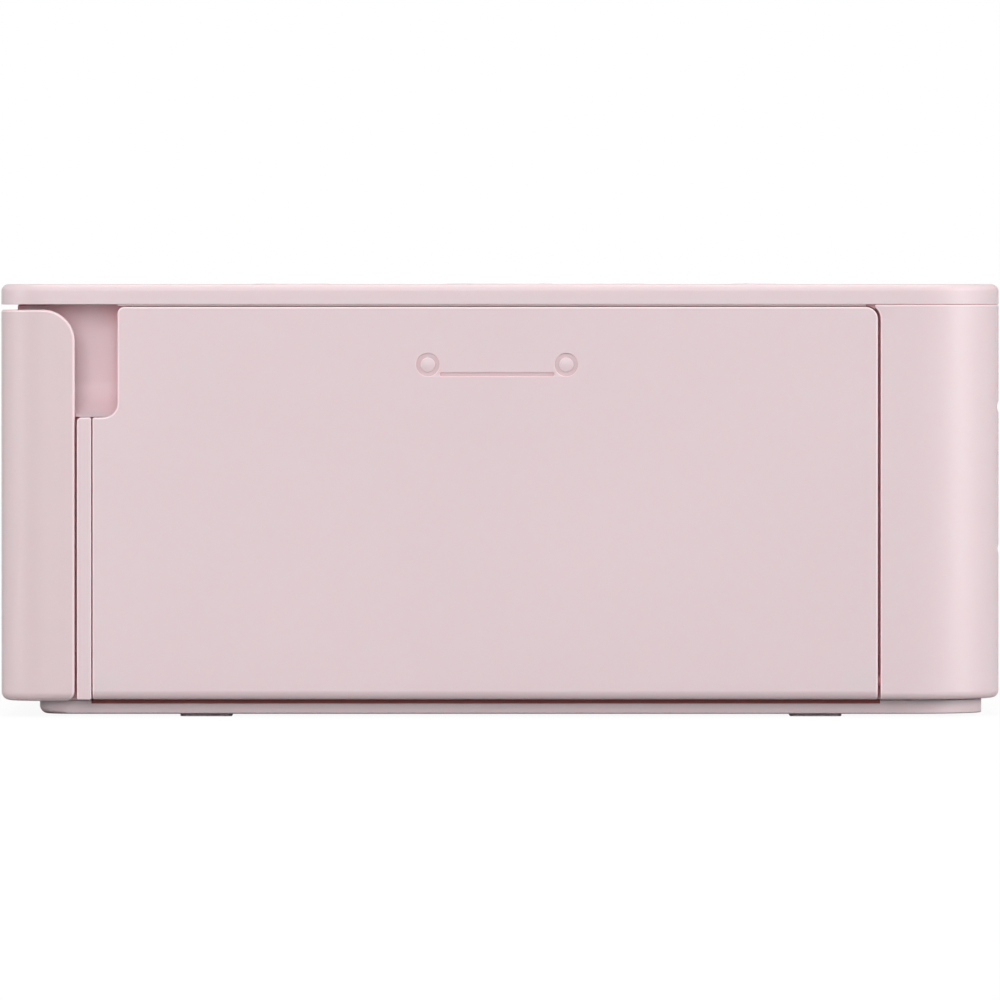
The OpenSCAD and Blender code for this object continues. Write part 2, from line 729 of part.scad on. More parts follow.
module chassis() {
    color(steel) {
        for (s = [-1, 1]) difference() {
            along_x(s > 0 ? side_x - sheet_t : -side_x, sheet_t) side_outline();
            rod_x(-side_x - 1, side_x + 1, platen_c, 4.5);
            rod_x(-side_x - 1, side_x + 1, capstan_c, 4);
            rod_x(-side_x - 1, side_x + 1, pinch_c, 1.5 + run_gap);
            rod_x(-side_x - 1, side_x + 1, pickup_c, journal_r + run_gap);
            rod_x(-side_x - 1, side_x + 1, head_c, 2 + run_gap);
            rod_x(-side_x - 1, 0, takeup_c, 4 + run_gap);
            along_x(0, side_x + 1) cassette_outline(0.5);
        }
        // Floor straps and rear stiffener of the same bent sheet
        box([-side_x + eps, 40, 4], [side_x - eps, 58, 4 + sheet_t]);
        box([-side_x + eps, -15, 4], [side_x - eps, -3, 4 + sheet_t]);
        box([-side_x + eps, 61, 24], [side_x - eps, 62, 44]);
        for (s = [-1, 1], y = [-9, 49]) translate([s * 50, y, base_z1]) cylinder(r = 3, h = 1.9);
        // Pegs that locate the cassette's far end
        for (y = peg_y) rod_x(0.1 - side_x, -54.6, [y, peg_z], peg_r);
    }
}

// Outer plate of the drive: carries the motors and the idler pins
module drive_bracket() {
    x1 = bracket_x + bracket_t;
    color(steel) {
        difference() {
            along_x(bracket_x, bracket_t)
                polygon([[-42, 5], [-42, 34], [-34, 51], [14, 53.5], [55, 46], [58, 18], [58, 4], [-20, 4]]);
            for (c = [motor_c, ribbon_motor_c, lift_c]) rod_x(bracket_x - 1, x1 + 1, c, 2.5);
            rod_x(bracket_x - 1, x1 + 1, capstan_c, 3.5);
        }
        for (c = [idler_c, reduction_c, pickup_idler_c])
            rod_x(x1 - 0.1, inner_x + gear_t + 0.4, c, gear_pin_r);
        for (c = [[22, 45], [52, 22], [-8, 8]]) rod_x(x1 - 0.1, -side_x, c, 2);
    }
}

module paper_guides() {
    guide_x = side_x - sheet_t;
    color(dark) {
        along_x(-guide_x, 2 * guide_x)
            polygon([[-17.5, 12], [-17.5, 13], [3, 20], [11.5, 22.2], [12, 21.2], [4, 18.8], [-15, 12]]);
        along_x(-guide_x, 2 * guide_x) polygon([[39.2, 17.6], [39.2, 18.6], [60.8, 16.4], [60.8, 15.4]]);
    }
}

// ---- Rollers ----

module platen_shaft() {
    color(steel) rod_x(inner_x - 0.4, side_x + 1.4, platen_c, shaft_r);
}

module platen_roller() {
    color(dark) difference() {
        rod_x(-media_x, media_x, platen_c, platen_r);
        rod_x(-media_x - 1, media_x + 1, platen_c, shaft_r);
    }
}

// Flanged bushes of the platen and the capstan, one in each side plate
module roller_bushes() {
    bushes = [[platen_c, 4.5, shaft_r], [capstan_c, 4, journal_r]];
    color(gear_white) for (s = [-1, 1], b = bushes) difference() {
        union() {
            rod_x(s * (side_x - 0.7) - 1.1, s * (side_x - 0.7) + 1.1, b[0], b[1] - 0.02);
            rod_x(s * (side_x - 1.75) - 0.5, s * (side_x - 1.75) + 0.5, b[0], b[1] + 0.8);
        }
        rod_x(-side_x - 5, side_x + 5, b[0], b[2] + run_gap);
    }
}

module capstan_shaft() {
    color(steel) {
        rod_x(-media_x, media_x, capstan_c, capstan_r);
        rod_x(outer_x - 0.6, side_x + 1.4, capstan_c, journal_r);
    }
}

module pinch_roller() {
    color(dark) {
        rod_x(-paper_w / 2, paper_w / 2, pinch_c, pinch_r);
        rod_x(-side_x - 0.8, side_x + 0.8, pinch_c, 1.5);
    }
}

// Two rubber tyres on one shaft
module pickup_roller() {
    color(dark) for (s = [-1, 1]) rod_x(s * 20 - 6, s * 20 + 6, pickup_c, pickup_r);
    color(steel) rod_x(inner_x - 0.4, side_x + 0.8, pickup_c, journal_r);
}

// ---- Gear train ----

module platen_gear() {
    color(gear_white) gear(inner_x, platen_c, z_platen, platen_phase, shaft_r);
}

module idler_gear() {
    width = inner_x + gear_t - outer_x;
    color(gear_white) gear(outer_x, idler_c, z_idler, idler_phase, gear_pin_r + run_gap, width);
}

module capstan_gear() {
    color(gear_white) gear(outer_x, capstan_c, z_capstan, capstan_phase, journal_r);
}

module reduction_gear() {
    bore = gear_pin_r + run_gap;
    color(gear_white) {
        gear(outer_x, reduction_c, z_reduction, small_phase, bore);
        gear(outer_x + gear_t, reduction_c, z_small, small_phase, bore, inner_x - outer_x);
    }
}

module motor_pinion() {
    color(gear_white) gear(outer_x, motor_c, z_pinion, motor_phase, gear_pin_r);
    color(steel) rod_x(bracket_x - 2.4, outer_x + gear_t, motor_c, gear_pin_r);
}

module pickup_idler() {
    bore = gear_pin_r + run_gap;
    color(gear_white) {
        gear(outer_x, pickup_idler_c, z_pickup_big, pickup_big_phase, bore);
        gear(outer_x + gear_t, pickup_idler_c, z_small, pickup_big_phase, bore, inner_x - outer_x);
    }
}

module pickup_gear() {
    color(gear_white) gear(inner_x, pickup_c, z_pickup, pickup_phase, journal_r);
}

module ribbon_pinion() {
    color(gear_white) gear(inner_x, ribbon_motor_c, z_pinion, ribbon_phase, gear_pin_r);
    color(steel) rod_x(bracket_x - 2.4, inner_x + gear_t, ribbon_motor_c, gear_pin_r);
}

module lift_pinion() {
    color(gear_white) gear(inner_x, lift_c, z_pinion, lift_phase, gear_pin_r);
    color(steel) rod_x(bracket_x - 2.4, inner_x + gear_t, lift_c, gear_pin_r);
}

// A motor's can behind the bracket, with a blind bore for its shaft
module motor(c, r, len) {
    difference() {
        union() {
            rod_x(bracket_x - len, bracket_x, c, r);
            rod_x(bracket_x - len - 1, bracket_x - len + 1, c, r * 0.35);
        }
        rod_x(bracket_x - 3, bracket_x + 1, c, gear_pin_r + run_gap);
    }
}

module main_motor() {
    color(steel) motor(motor_c, 13.5, 15);
}

module ribbon_motor() {
    color(steel) motor(ribbon_motor_c, 6.4, 15);
}

module lift_motor() {
    color(steel) motor(lift_c, 7.5, 15);
}

// ---- Print head ----

// Turns what is drawn in the printing position up into the rest position
module raised() {
    translate([0, head_c[0], head_c[1]]) rotate([-head_lift, 0, 0])
        translate([0, -head_c[0], -head_c[1]]) children();
}

module head_heatsink() {
    arm = [[15, 34], [15, 42], [28, 44.2], [42, 46.8], [56, 50], [60.8, 48.6], [60.8, 45], [56, 44.2],
        [45, 44.5], [39, 44.3], [36, 43], [33, 40.4], [28, 37], [28, 34]];
    color(steel) raised() difference() {
        union() {
            along_x(-52.6, 105.2) polygon([[15.5, 26.25], [25.5, 26.25], [25.5, 34], [27.5, 34], [27.5, 42],
                [14.5, 42], [14.5, 34], [15.5, 34]]);
            for (s = [-1, 1]) along_x(s * 55.4 - 2.9, 5.8) translate([15, 34]) square([12.5, 8]);
            for (s = [-1, 1]) along_x(s * 57.5 - 0.8, 1.6) polygon(arm);
        }
        for (i = [0:3]) box([-51, 16 + 2.9 * i, 36], [51, 17.5 + 2.9 * i, 43]);
        rod_x(-70, 70, head_c, 2);
    }
}

module head_strip() {
    color([0.90, 0.88, 0.80]) raised() {
        box([-media_x, 16.5, 25.45], [media_x, 24.5, 26.25]);
        box([-paper_w / 2, 20.1, 25.25], [paper_w / 2, 20.9, 25.5]);
    }
}

module head_shaft() {
    color(steel) rod_x(inner_x - 0.4, side_x + 0.8, head_c, 2);
}

module lift_sector() {
    color(gear_white) difference() {
        union() {
            intersection() {
                along_x(inner_x, gear_t) translate(head_c) gear_outline(z_sector, 0);
                along_x(inner_x, gear_t) translate(head_c)
                    polygon([[0, 0], polar([0, 0], 20, 197), polar([0, 0], 24, 225), polar([0, 0], 20, 253)]);
            }
            rod_x(inner_x, inner_x + gear_t, head_c, 3.8);
        }
        rod_x(inner_x - 1, inner_x + gear_t + 1, head_c, 2);
    }
}

// ---- Ink cassette ----

// One trough of the cassette, open between two angles where the film leaves it
module trough(c, a0, a1) {
    inner = housing_r - 0.9;
    x0 = -55.8;
    x1 = 80;
    difference() {
        rod_x(x0, x1, c, housing_r);
        rod_x(x0 + 1.4, 54.2, c, inner);
        rod_x(55.8, x1 + 1, c, inner);
        along_x(-51.5, 103) translate(c)
            polygon([[0, 0], polar([0, 0], 14, a0), polar([0, 0], 14, (a0 + a1) / 2), polar([0, 0], 14, a1)]);
        rod_x(x0 - 1, x1 + 1, c, 2.05);
        if (c == takeup_c) rod_x(x0 - 1, x0 + 2, c, 3.2);
    }
}

module cassette_frame() {
    color([0.20, 0.20, 0.23]) {
        trough(takeup_c, 276, 322);
        trough(supply_c, 222, 268);
        difference() {
            for (x = [-55.8, 53.2]) box([x, 5.5, 26], [x + 2.6, 34.5, 31]);
            for (y = peg_y) rod_x(-57, -54.4, [y, peg_z], peg_r + run_gap);
        }
        for (y = guide_y) rod_x(-55, 55, [y, guide_z], guide_r);
        // Grip at the door end
        difference() {
            along_x(77, 3) cassette_outline(0);
            along_x(76, 5) translate([20, 35]) pill([22, 9]);
            for (c = [takeup_c, supply_c]) rod_x(75, 78.6, c, housing_r - 0.9);
        }
        box([55.8, 7, 26], [77, 33, 27.2]);
    }
}

module takeup_spool() {
    color(gear_white) difference() {
        union() {
            rod_x(-54.1, 54, takeup_c, 3.9);
            rod_x(50, 55.4, takeup_c, 2);
        }
        rod_x(-55, -49, takeup_c, 2.5);
    }
    color([0.45, 0.12, 0.30]) difference() {
        rod_x(-50, 50, takeup_c, takeup_roll_r);
        rod_x(-51, 51, takeup_c, 3.9);
    }
}

module supply_spool() {
    color(gear_white) {
        rod_x(-54.1, 54, supply_c, 3.9);
        rod_x(-55.4, 55.4, supply_c, 2);
    }
    color([0.80, 0.70, 0.15]) difference() {
        rod_x(-50, 50, supply_c, supply_roll_r);
        rod_x(-51, 51, supply_c, 3.9);
    }
}

// Drive coupling of the take-up spool: gear, shaft and the nose inside the spool
module takeup_hub() {
    color(gear_white) difference() {
        union() {
            along_x(inner_x, gear_t) translate(takeup_c) gear_outline(z_takeup, 0);
            rod_x(inner_x + gear_t - 0.1, -58, takeup_c, 4);
            rod_x(-58.1, -49.5, takeup_c, 2.4);
        }
        rod_x(inner_x - 1, inner_x + 2, takeup_c, 1.2);
    }
}

// One straight span of film from under circle a to under circle b, on the side given by s
module film_span(a, ra, b, rb, s) {
    dir = angle_to(a, b) - s * asin((rb - ra) / norm(b - a));
    n = [cos(dir - s * 90), sin(dir - s * 90)];
    polygon([a + ra * n, b + rb * n, b + (rb + film_t) * n, a + (ra + film_t) * n]);
}

module ribbon_film() {
    rods = [[guide_y[0], guide_z], [guide_y[1], guide_z]];
    color([0.75, 0.20, 0.45]) along_x(-paper_w / 2, paper_w) {
        film_span(rods[0], guide_r, takeup_c, takeup_roll_r + run_gap, -1);
        film_span(rods[1], guide_r, supply_c, supply_roll_r + run_gap, 1);
        translate([guide_y[0] - 0.4, guide_z - guide_r - film_t])
            square([guide_y[1] - guide_y[0] + 0.8, film_t]);
    }
}

// ---- Electronics and fasteners ----

module main_board() {
    color([0.10, 0.35, 0.22]) box([66, -59, 6], [67.6, -16, 48]);
    color(dark) {
        box([67.5, -50, 26], [69, -36, 40]);
        box([67.5, -30, 12], [68.8, -20, 22]);
    }
    color(steel) for (i = [0:2]) rod_x(67.5, 76, [-52 + 10 * i, 15], 4);
    color(gear_white) box([67.5, -32, 40], [72, -18, 45]);
}

module screws() {
    head_z = 1.2;
    color(steel) for (c = screw_at) translate([c[0], c[1], 0]) difference() {
        union() {
            translate([0, 0, head_z - 0.7]) cylinder(r = 2.6, h = 0.7);
            translate([0, 0, head_z - 0.1]) cylinder(r = screw_r, h = 5.1);
        }
        for (a = [0, 90]) rotate([0, 0, a]) translate([-1.6, -0.25, 0]) cube([3.2, 0.5, head_z - 0.25]);
    }
}

top_plate();
casing();
base_plate();
front_frame();
paper_bay();
front_cover();
ink_door();
hinge_pins();
ink_bay();
rear_panel();
feet();
lcd_window();
lcd_panel();
control_board();
round_key(power_c, power_r, 1);  // power_button
pill_key(home_c, pill_size);  // home_button
pill_key(back_c, pill_size);  // back_button
pad_key(90);  // up_key
pad_key(0);  // right_key
pad_key(270);  // down_key
pad_key(180);  // left_key
round_key(pad_c, ok_r, 0);  // ok_button
pill_key(print_c, print_size);  // print_button
io_board();
usb_port();
card_slot();
dc_jack();
chassis();
drive_bracket();
paper_guides();
head_heatsink();
head_strip();
head_shaft();
lift_sector();
lift_pinion();
lift_motor();
main_motor();
motor_pinion();
reduction_gear();
platen_gear();
platen_roller();
platen_shaft();
roller_bushes();
idler_gear();
capstan_gear();
capstan_shaft();
pinch_roller();
pickup_idler();
pickup_gear();
pickup_roller();
takeup_hub();
takeup_spool();
supply_spool();
cassette_frame();
ribbon_film();
ribbon_motor();
ribbon_pinion();
main_board();
release_lever();
screws();
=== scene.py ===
import json
import math
import bpy
import bmesh
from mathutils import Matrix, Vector
from mathutils.geometry import tessellate_polygon

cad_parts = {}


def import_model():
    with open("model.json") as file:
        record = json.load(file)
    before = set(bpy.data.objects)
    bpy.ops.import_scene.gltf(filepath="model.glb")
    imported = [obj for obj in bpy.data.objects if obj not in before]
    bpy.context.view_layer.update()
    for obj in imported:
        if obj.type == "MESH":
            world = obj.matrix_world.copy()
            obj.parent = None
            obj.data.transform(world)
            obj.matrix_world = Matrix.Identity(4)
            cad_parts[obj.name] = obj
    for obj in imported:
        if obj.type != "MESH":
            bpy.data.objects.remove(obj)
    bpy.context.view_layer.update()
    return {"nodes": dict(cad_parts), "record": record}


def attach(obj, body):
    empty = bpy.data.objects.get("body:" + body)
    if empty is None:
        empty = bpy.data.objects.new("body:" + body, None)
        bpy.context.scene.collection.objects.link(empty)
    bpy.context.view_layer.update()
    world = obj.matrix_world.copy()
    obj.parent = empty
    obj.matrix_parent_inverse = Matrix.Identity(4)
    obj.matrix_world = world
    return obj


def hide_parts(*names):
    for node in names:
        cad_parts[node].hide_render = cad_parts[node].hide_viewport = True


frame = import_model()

MM = 0.001
SCENE = bpy.context.scene

# Main sizes in millimetres, as in the part's source. The edges of the strip, the door and the jamb are up to
# 0.06 mm off it, so that the gaps between them look as narrow as the real ones.
HALF_W, FRONT_Y, REAR_Y = 91.0, -66.5, 66.5
FRONT_R, REAR_R, WALL = 6.4, 13.4, 2.0
BASE_Z0, BASE_STEP, BASE_Z1 = 0.35, 1.72, 2.2
BASE_IN = (3, 5.1, 2.3)
SHELL_Z0, SHELL_Z1, INNER_X = 2.3, 54.79, 89.2
PLATE_Z0, PLATE_Z1 = 54.8, 57.5
COVER_Z0, COVER_Z1, WING_Y = 2.1, 54.1, -56.6
STRIP_Y0, STRIP_Y1 = -56.3, -54.39
DOOR_Y0, DOOR_Y1, DOOR_Z0, DOOR_Z1 = -54.25, 50.08, 2.32, 54.5
DOOR_R, DOOR_BACK, JAMB_Y = 1.65, 89, 50.44
# The notch in the door and the finger scoop behind it
NOTCH_Z, NOTCH_Y1 = 39.8, -50.9
SCOOP_X, SCOOP_R = 86.0, 5.0
# Grooves across the back: height, radius and depth
GROOVES = [(41.15, 1.2, 0.26), (22.2, 1.05, 0.18)]
# Hinge pins, as Y and Z, and the middle of the cover's hinges in X
COVER_PIN, COVER_HINGE_X, DOOR_PIN_Z = (-63.1, 3.7), 81.7, 4.8
# Screws and their bosses
FRAME_BOSS, CASING_BOSS, BOSS_R, BOSS_Z1 = (79.5, -54), (78, 54), 3, 9
SCREWS = [(s * x, y) for x, y in (FRAME_BOSS, CASING_BOSS) for s in (-1, 1)]
FOOT_X, FOOT_YS, FOOT = 83.2, (-39.2, 41.9), 3.45
# Openings: paper bay and rear panel as their corners in X and Z, side vents, card slot as its corners in Y
# and Z, data socket as its middle and size
BAY_MOUTH, REAR_OPENING = (-60.2, 5.2, 60.2, 31), (-72.6, 4.5, 72.6, 53)
VENT_Y, VENT_W, VENT_PITCH, VENT_Z0, VENT_Z1 = 18, 1.2, 2.6, 30, 46
CARD_SLOT, SOCKET = (-21.5, 37.9, -46.9, 40.7), (-15.5, 38.8, 9.4, 3.6)
# Display as its middle and size, direction keys, power key, and the oblong keys as their middle and size
LCD, LCD_GAP = (-14, 0, 80, 60), 0.2
KEY_Z, KEY_DEEP, KEY_GAP = 57.6, 4.2, 0.3
PAD, PAD_R, OK_R = (60, 6), 13.5, 5.6
POWER_AT, POWER_R = (-74, 46), 4.5
KEY_AT = {"home_button": (46, 34, 13, 6), "back_button": (74, 34, 13, 6), "print_button": (60, -28, 30, 10)}
BOARD_POSTS = [(39.5, -35), (81.5, -35), (39.5, 41.3), (81.5, 41.3), (-82, 43), (-67.6, 42)]
# An edge with at least this turn, in degrees, is kept sharp or gets a bevel
SHARP = 38


# ---- Flat outlines ----

def rounded(corners, steps=6):
    """A closed outline through (x, y, radius) corners, each rounded by its radius."""
    out = []
    n = len(corners)
    for i, (x, y, r) in enumerate(corners):
        p = Vector((x, y))
        if r <= 0:
            out.append(p)
            continue
        u = (Vector(corners[i - 1][:2]) - p).normalized()
        v = (Vector(corners[(i + 1) % n][:2]) - p).normalized()
        half = math.acos(max(-1.0, min(1.0, u.dot(v)))) / 2
        mid = p + (u + v).normalized() * (r / math.sin(half))
        a, b = p + u * (r / math.tan(half)) - mid, p + v * (r / math.tan(half)) - mid
        start = math.atan2(a.y, a.x)
        turn = (math.atan2(b.y, b.x) - start + math.pi) % (2 * math.pi) - math.pi
        k = max(2, math.ceil(abs(turn) / (math.pi / 2) * steps))
        angles = [start + turn * j / k for j in range(k + 1)]
        out += [mid + r * Vector((math.cos(t), math.sin(t))) for t in angles]
    return out


def sharp(points):
    """Points as corners that stay sharp."""
    return [(*p, 0) for p in points]


def moved(corners, x, y):
    return [(x + u, y + v, r) for u, v, r in corners]


def arc_points(c, r, a0, a1, n=20):
    """Points of an arc round c, from angle a0 to a1 in degrees."""
    angles = [math.radians(a0 + (a1 - a0) * i / n) for i in range(n + 1)]
    return [(c[0] + r * math.cos(t), c[1] + r * math.sin(t)) for t in angles]


def rect(x0, y0, x1, y1, r, steps=4):
    return rounded([(x0, y0, r), (x1, y0, r), (x1, y1, r), (x0, y1, r)], steps)


def rect_at(x, y, half_w, half_d, r, steps=4):
    """A rectangle by its middle and half its size."""
    return rect(x - half_w, y - half_d, x + half_w, y + half_d, r, steps)


def circle(x, y, r, n=48):
    angles = [2 * math.pi * i / n for i in range(n)]
    return [Vector((x + r * math.cos(t), y + r * math.sin(t))) for t in angles]


def pill(x, y, w, h):
    return rect_at(x, y, w / 2, h / 2, h / 2 - 1e-4, 12)


def body_plan(sides=0.0, front=0.0, rear=0.0):
    """Plan of the body, set in at the sides, the front and the back."""
    w, rf = HALF_W - sides, FRONT_R - max(sides, front) / 2
    rr = REAR_R - max(sides, rear)
    y0, y1 = FRONT_Y + front, REAR_Y - rear
    return rounded([(-w, y0, rf), (w, y0, rf), (w, y1, rr), (-w, y1, rr)], 16)


def turned(loop, left):
    """The outline, running round its area on the left if left is true."""
    area = sum(a.x * b.y - b.x * a.y for a, b in zip(loop, loop[1:] + loop[:1]))
    return list(loop) if (area > 0) == left else list(reversed(loop))


def inset(loop, by):
    """Each point moved to the left of the way round, by its own distance."""
    out = []
    n = len(loop)
    for i, p in enumerate(loop):
        a, b = (p - loop[i - 1]).normalized(), (loop[(i + 1) % n] - p).normalized()
        na, nb = Vector((-a.y, a.x)), Vector((-b.y, b.x))
        out.append(p + (na + nb) * (by[i] / max(0.3, 1 + na.dot(nb))))
    return out


# ---- Solids ----

def rise(radii, w0, w1, low, high, steps):
    """Levels of a wall from w0 up to w1, with its two edges rounded: (how far in, height) for each point.

    The number of its upright level comes with them."""
    out = []
    lows, highs = [low(p) for p in radii], [high(p) for p in radii]
    n = steps if max(lows) > 1e-6 else 0
    for k in range(n + 1):
        a = math.pi / 2 * k / max(1, n)
        out.append(([r * (1 - math.sin(a)) for r in lows], [w0 + r * (1 - math.cos(a)) for r in lows]))
    upright = n
    n = steps if max(highs) > 1e-6 else 0
    for k in range(n + 1):
        a = math.pi / 2 * k / max(1, n)
        out.append(([r * (1 - math.cos(a)) for r in highs], [w1 - r * (1 - math.sin(a)) for r in highs]))
    return out, upright


def wall_of(bm, loop, levels, upright):
    """The wall of a slab. Its finely rounded edges are marked by their material index, for a painted
    highlight.
    """
    fine = max(levels[-1][0] + levels[0][0]) < 0.4
    rings = [[bm.verts.new((p.x, p.y, w)) for p, w in zip(inset(loop, ins), ws)] for ins, ws in levels]
    for k, (a, b) in enumerate(zip(rings, rings[1:])):
        for i in range(len(loop)):
            j = (i + 1) % len(loop)
            bm.faces.new((a[i], a[j], b[j], b[i])).material_index = int(fine and k != upright)
    return rings[0], rings[-1]


def cap_of(bm, rings):
    """Closes the area between rings of a slab with flat faces."""
    flat = [v for ring in rings for v in ring]
    for t in tessellate_polygon([[Vector((v.co.x, v.co.y, 0)) for v in ring] for ring in rings]):
        if len(set(t)) == 3:
            bm.faces.new([flat[i] for i in t])


def const(value):
    """The same value at each point, if it isn't a function of the point already."""
    return value if callable(value) else (lambda p: value)


def slab(outline, w0, w1, low=0.0, high=0.0, holes=(), pockets=(), steps=4):
    """A plate between w0 and w1 with rounded edges, which can differ from point to point.

    A pocket in its upper side is (outline, depth, islands)."""
    bm = bmesh.new()
    bottoms, tops = [], []
    for k, loop in enumerate([outline, *holes]):
        loop = turned(loop, k == 0)
        b, t = wall_of(bm, loop, *rise(loop, w0, w1, const(low), const(high), steps))
        bottoms.append(b)
        tops.append(t)
    for loop, depth, islands in pockets:
        edge = min(0.08, depth / 3)
        floors = []
        for k, ring in enumerate([loop, *islands]):
            ring = turned(ring, k > 0)
            b, t = wall_of(bm, ring, *rise(ring, w1 - depth, w1, const(0.0), const(edge), 2))
            floors.append(b)
            if k == 0:
                tops.append(t)
            else:
                cap_of(bm, [t])
        cap_of(bm, floors)
    cap_of(bm, bottoms)
    cap_of(bm, tops)
    return bm


def cut(bm, axis, places):
    """Splits the faces where they cross each place along an axis, so that they can bend there."""
    normal = Vector([float(i == axis) for i in range(3)])
    for c in places:
        geom = bm.verts[:] + bm.edges[:] + bm.faces[:]
        bmesh.ops.bisect_plane(bm, geom=geom, dist=1e-5, plane_co=normal * c, plane_no=normal)
    return bm


def mapped(bm, f):
    for v in bm.verts:
        v.co = f(*v.co)
    return bm


def rolled(bm, v0, r, w1=0.0):
    """Rounds a slab's outer face away towards its lower edge at v0."""
    cut(bm, 1, [v0 + r * (1 - math.cos(math.radians(a))) for a in range(15, 91, 15)])
    for v in bm.verts:
        down = v0 + r - v.co.y
        if down > 0 and v.co.z > w1 - 0.9:
            v.co.z -= r - math.sqrt(max(0.0, r * r - down * down))
    return bm


def grooved(bm):
    """Presses the grooves into the back, where the surface stands out that far."""
    for v in bm.verts:
        if v.co.y > REAR_Y - 1:
            for z, r, deep in GROOVES:
                if abs(v.co.z - z) < r:
                    v.co.y = min(v.co.y, REAR_Y + r - deep - math.sqrt(r * r - (v.co.z - z) ** 2))
    return bm


def groove_cuts():
    """Heights at which the back is split, so that it can take the grooves."""
    return [z + math.sqrt(2 * r * deep - deep * deep) * k / 4 for z, r, deep in GROOVES for k in range(-4, 5)]


# A slab's own u, v and w turned onto the object: outward is +X, +Y, -Y or +Z
FACES = {
    "+x": lambda u, v, w: (w, u, v),
    "+y": lambda u, v, w: (-u, w, v),
    "-y": lambda u, v, w: (u, -w, v),
    "+z": lambda u, v, w: (u, v, w),
}


def plate(face, *args, **kw):
    return mapped(slab(*args, **kw), FACES[face])


def block(lo, hi, r=0.2):
    """A box with all its edges rounded."""
    r = min([r] + [(b - a) * 0.45 for a, b in zip(lo, hi)])
    return slab(rect(lo[0], lo[1], hi[0], hi[1], r, 3), lo[2], hi[2], r, r, steps=2)


def rod(face, c, r, w0, w1):
    return plate(face, circle(c[0], c[1], r, 32), w0, w1, 0.15, 0.15, steps=2)


def join(parts):
    out = bmesh.new()
    for bm in parts:
        me = bpy.data.meshes.new("part")
        bm.to_mesh(me)
        bm.free()
        out.from_mesh(me)
        bpy.data.meshes.remove(me)
    return out


def piece(name, parts, material, body, nodes=()):
    """An object from its parts, in millimetres, with smooth faces and sharp corners kept.

    The faces that wall_of has marked get 1 in an attribute, which the plastic materials read to paint a
    highlight on them."""
    bm = join(parts)
    bmesh.ops.remove_doubles(bm, verts=bm.verts, dist=1e-5)
    bmesh.ops.scale(bm, verts=bm.verts, vec=(MM, MM, MM))
    bmesh.ops.recalc_face_normals(bm, faces=bm.faces)
    for f in bm.faces:
        f.smooth = True
    for e in bm.edges:
        e.smooth = len(e.link_faces) == 2 and e.calc_face_angle(0) < math.radians(SHARP)
    me = bpy.data.meshes.new(name)
    highlight_rims = [float(f.material_index) for f in bm.faces]
    for f in bm.faces:
        f.material_index = 0
    bm.to_mesh(me)
    bm.free()
    me.attributes.new("highlight_rim", "FLOAT", "FACE").data.foreach_set("value", highlight_rims)
    ob = bpy.data.objects.new(name, me)
    SCENE.collection.objects.link(ob)
    me.materials.append(material)
    mod = ob.modifiers.new("even_shading", "WEIGHTED_NORMAL")
    mod.keep_sharp = True
    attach(ob, body)
    if nodes:
        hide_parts(*nodes)


# ---- Walls that follow the body's plan ----

def round_front(half, y0, r):
    """Maps (way along, height, out) onto a wall round the front, from the left side to the right."""
    flat = half - r

    def f(s, v, w):
        side, a = (1 if s > 0 else -1), abs(s)
        if a <= flat:
            return (s, y0 - w, v)
        if a <= flat + r * math.pi / 2:
            t = (a - flat) / r
            return (side * (flat + (r + w) * math.sin(t)), y0 + r - (r + w) * math.cos(t), v)
        return (side * (half + w), y0 + r + a - flat - r * math.pi / 2, v)
    cuts = [s * (flat + r * math.radians(t)) for s in (-1, 1) for t in range(0, 91, 5)]
    return f, cuts


def round_rear(half, y1, r):
    """The same round the back, from the right side to the left."""
    flat = half - r

    def f(s, v, w):
        side, a = (-1 if s > 0 else 1), abs(s)
        if a <= flat:
            return (-s, y1 + w, v)
        if a <= flat + r * math.pi / 2:
            t = (a - flat) / r
            return (side * (flat + (r + w) * math.sin(t)), y1 - r + (r + w) * math.cos(t), v)
        return (side * (half + w), y1 - r - (a - flat - r * math.pi / 2), v)
    cuts = [s * (flat + r * math.radians(t)) for s in (-1, 1) for t in range(0, 91, 4)]
    return f, cuts


# ---- Materials ----

def linear(rgb):
    return [c / 12.92 if c <= 0.04045 else ((c + 0.055) / 1.055) ** 2.4 for c in (x / 255 for x in rgb)]


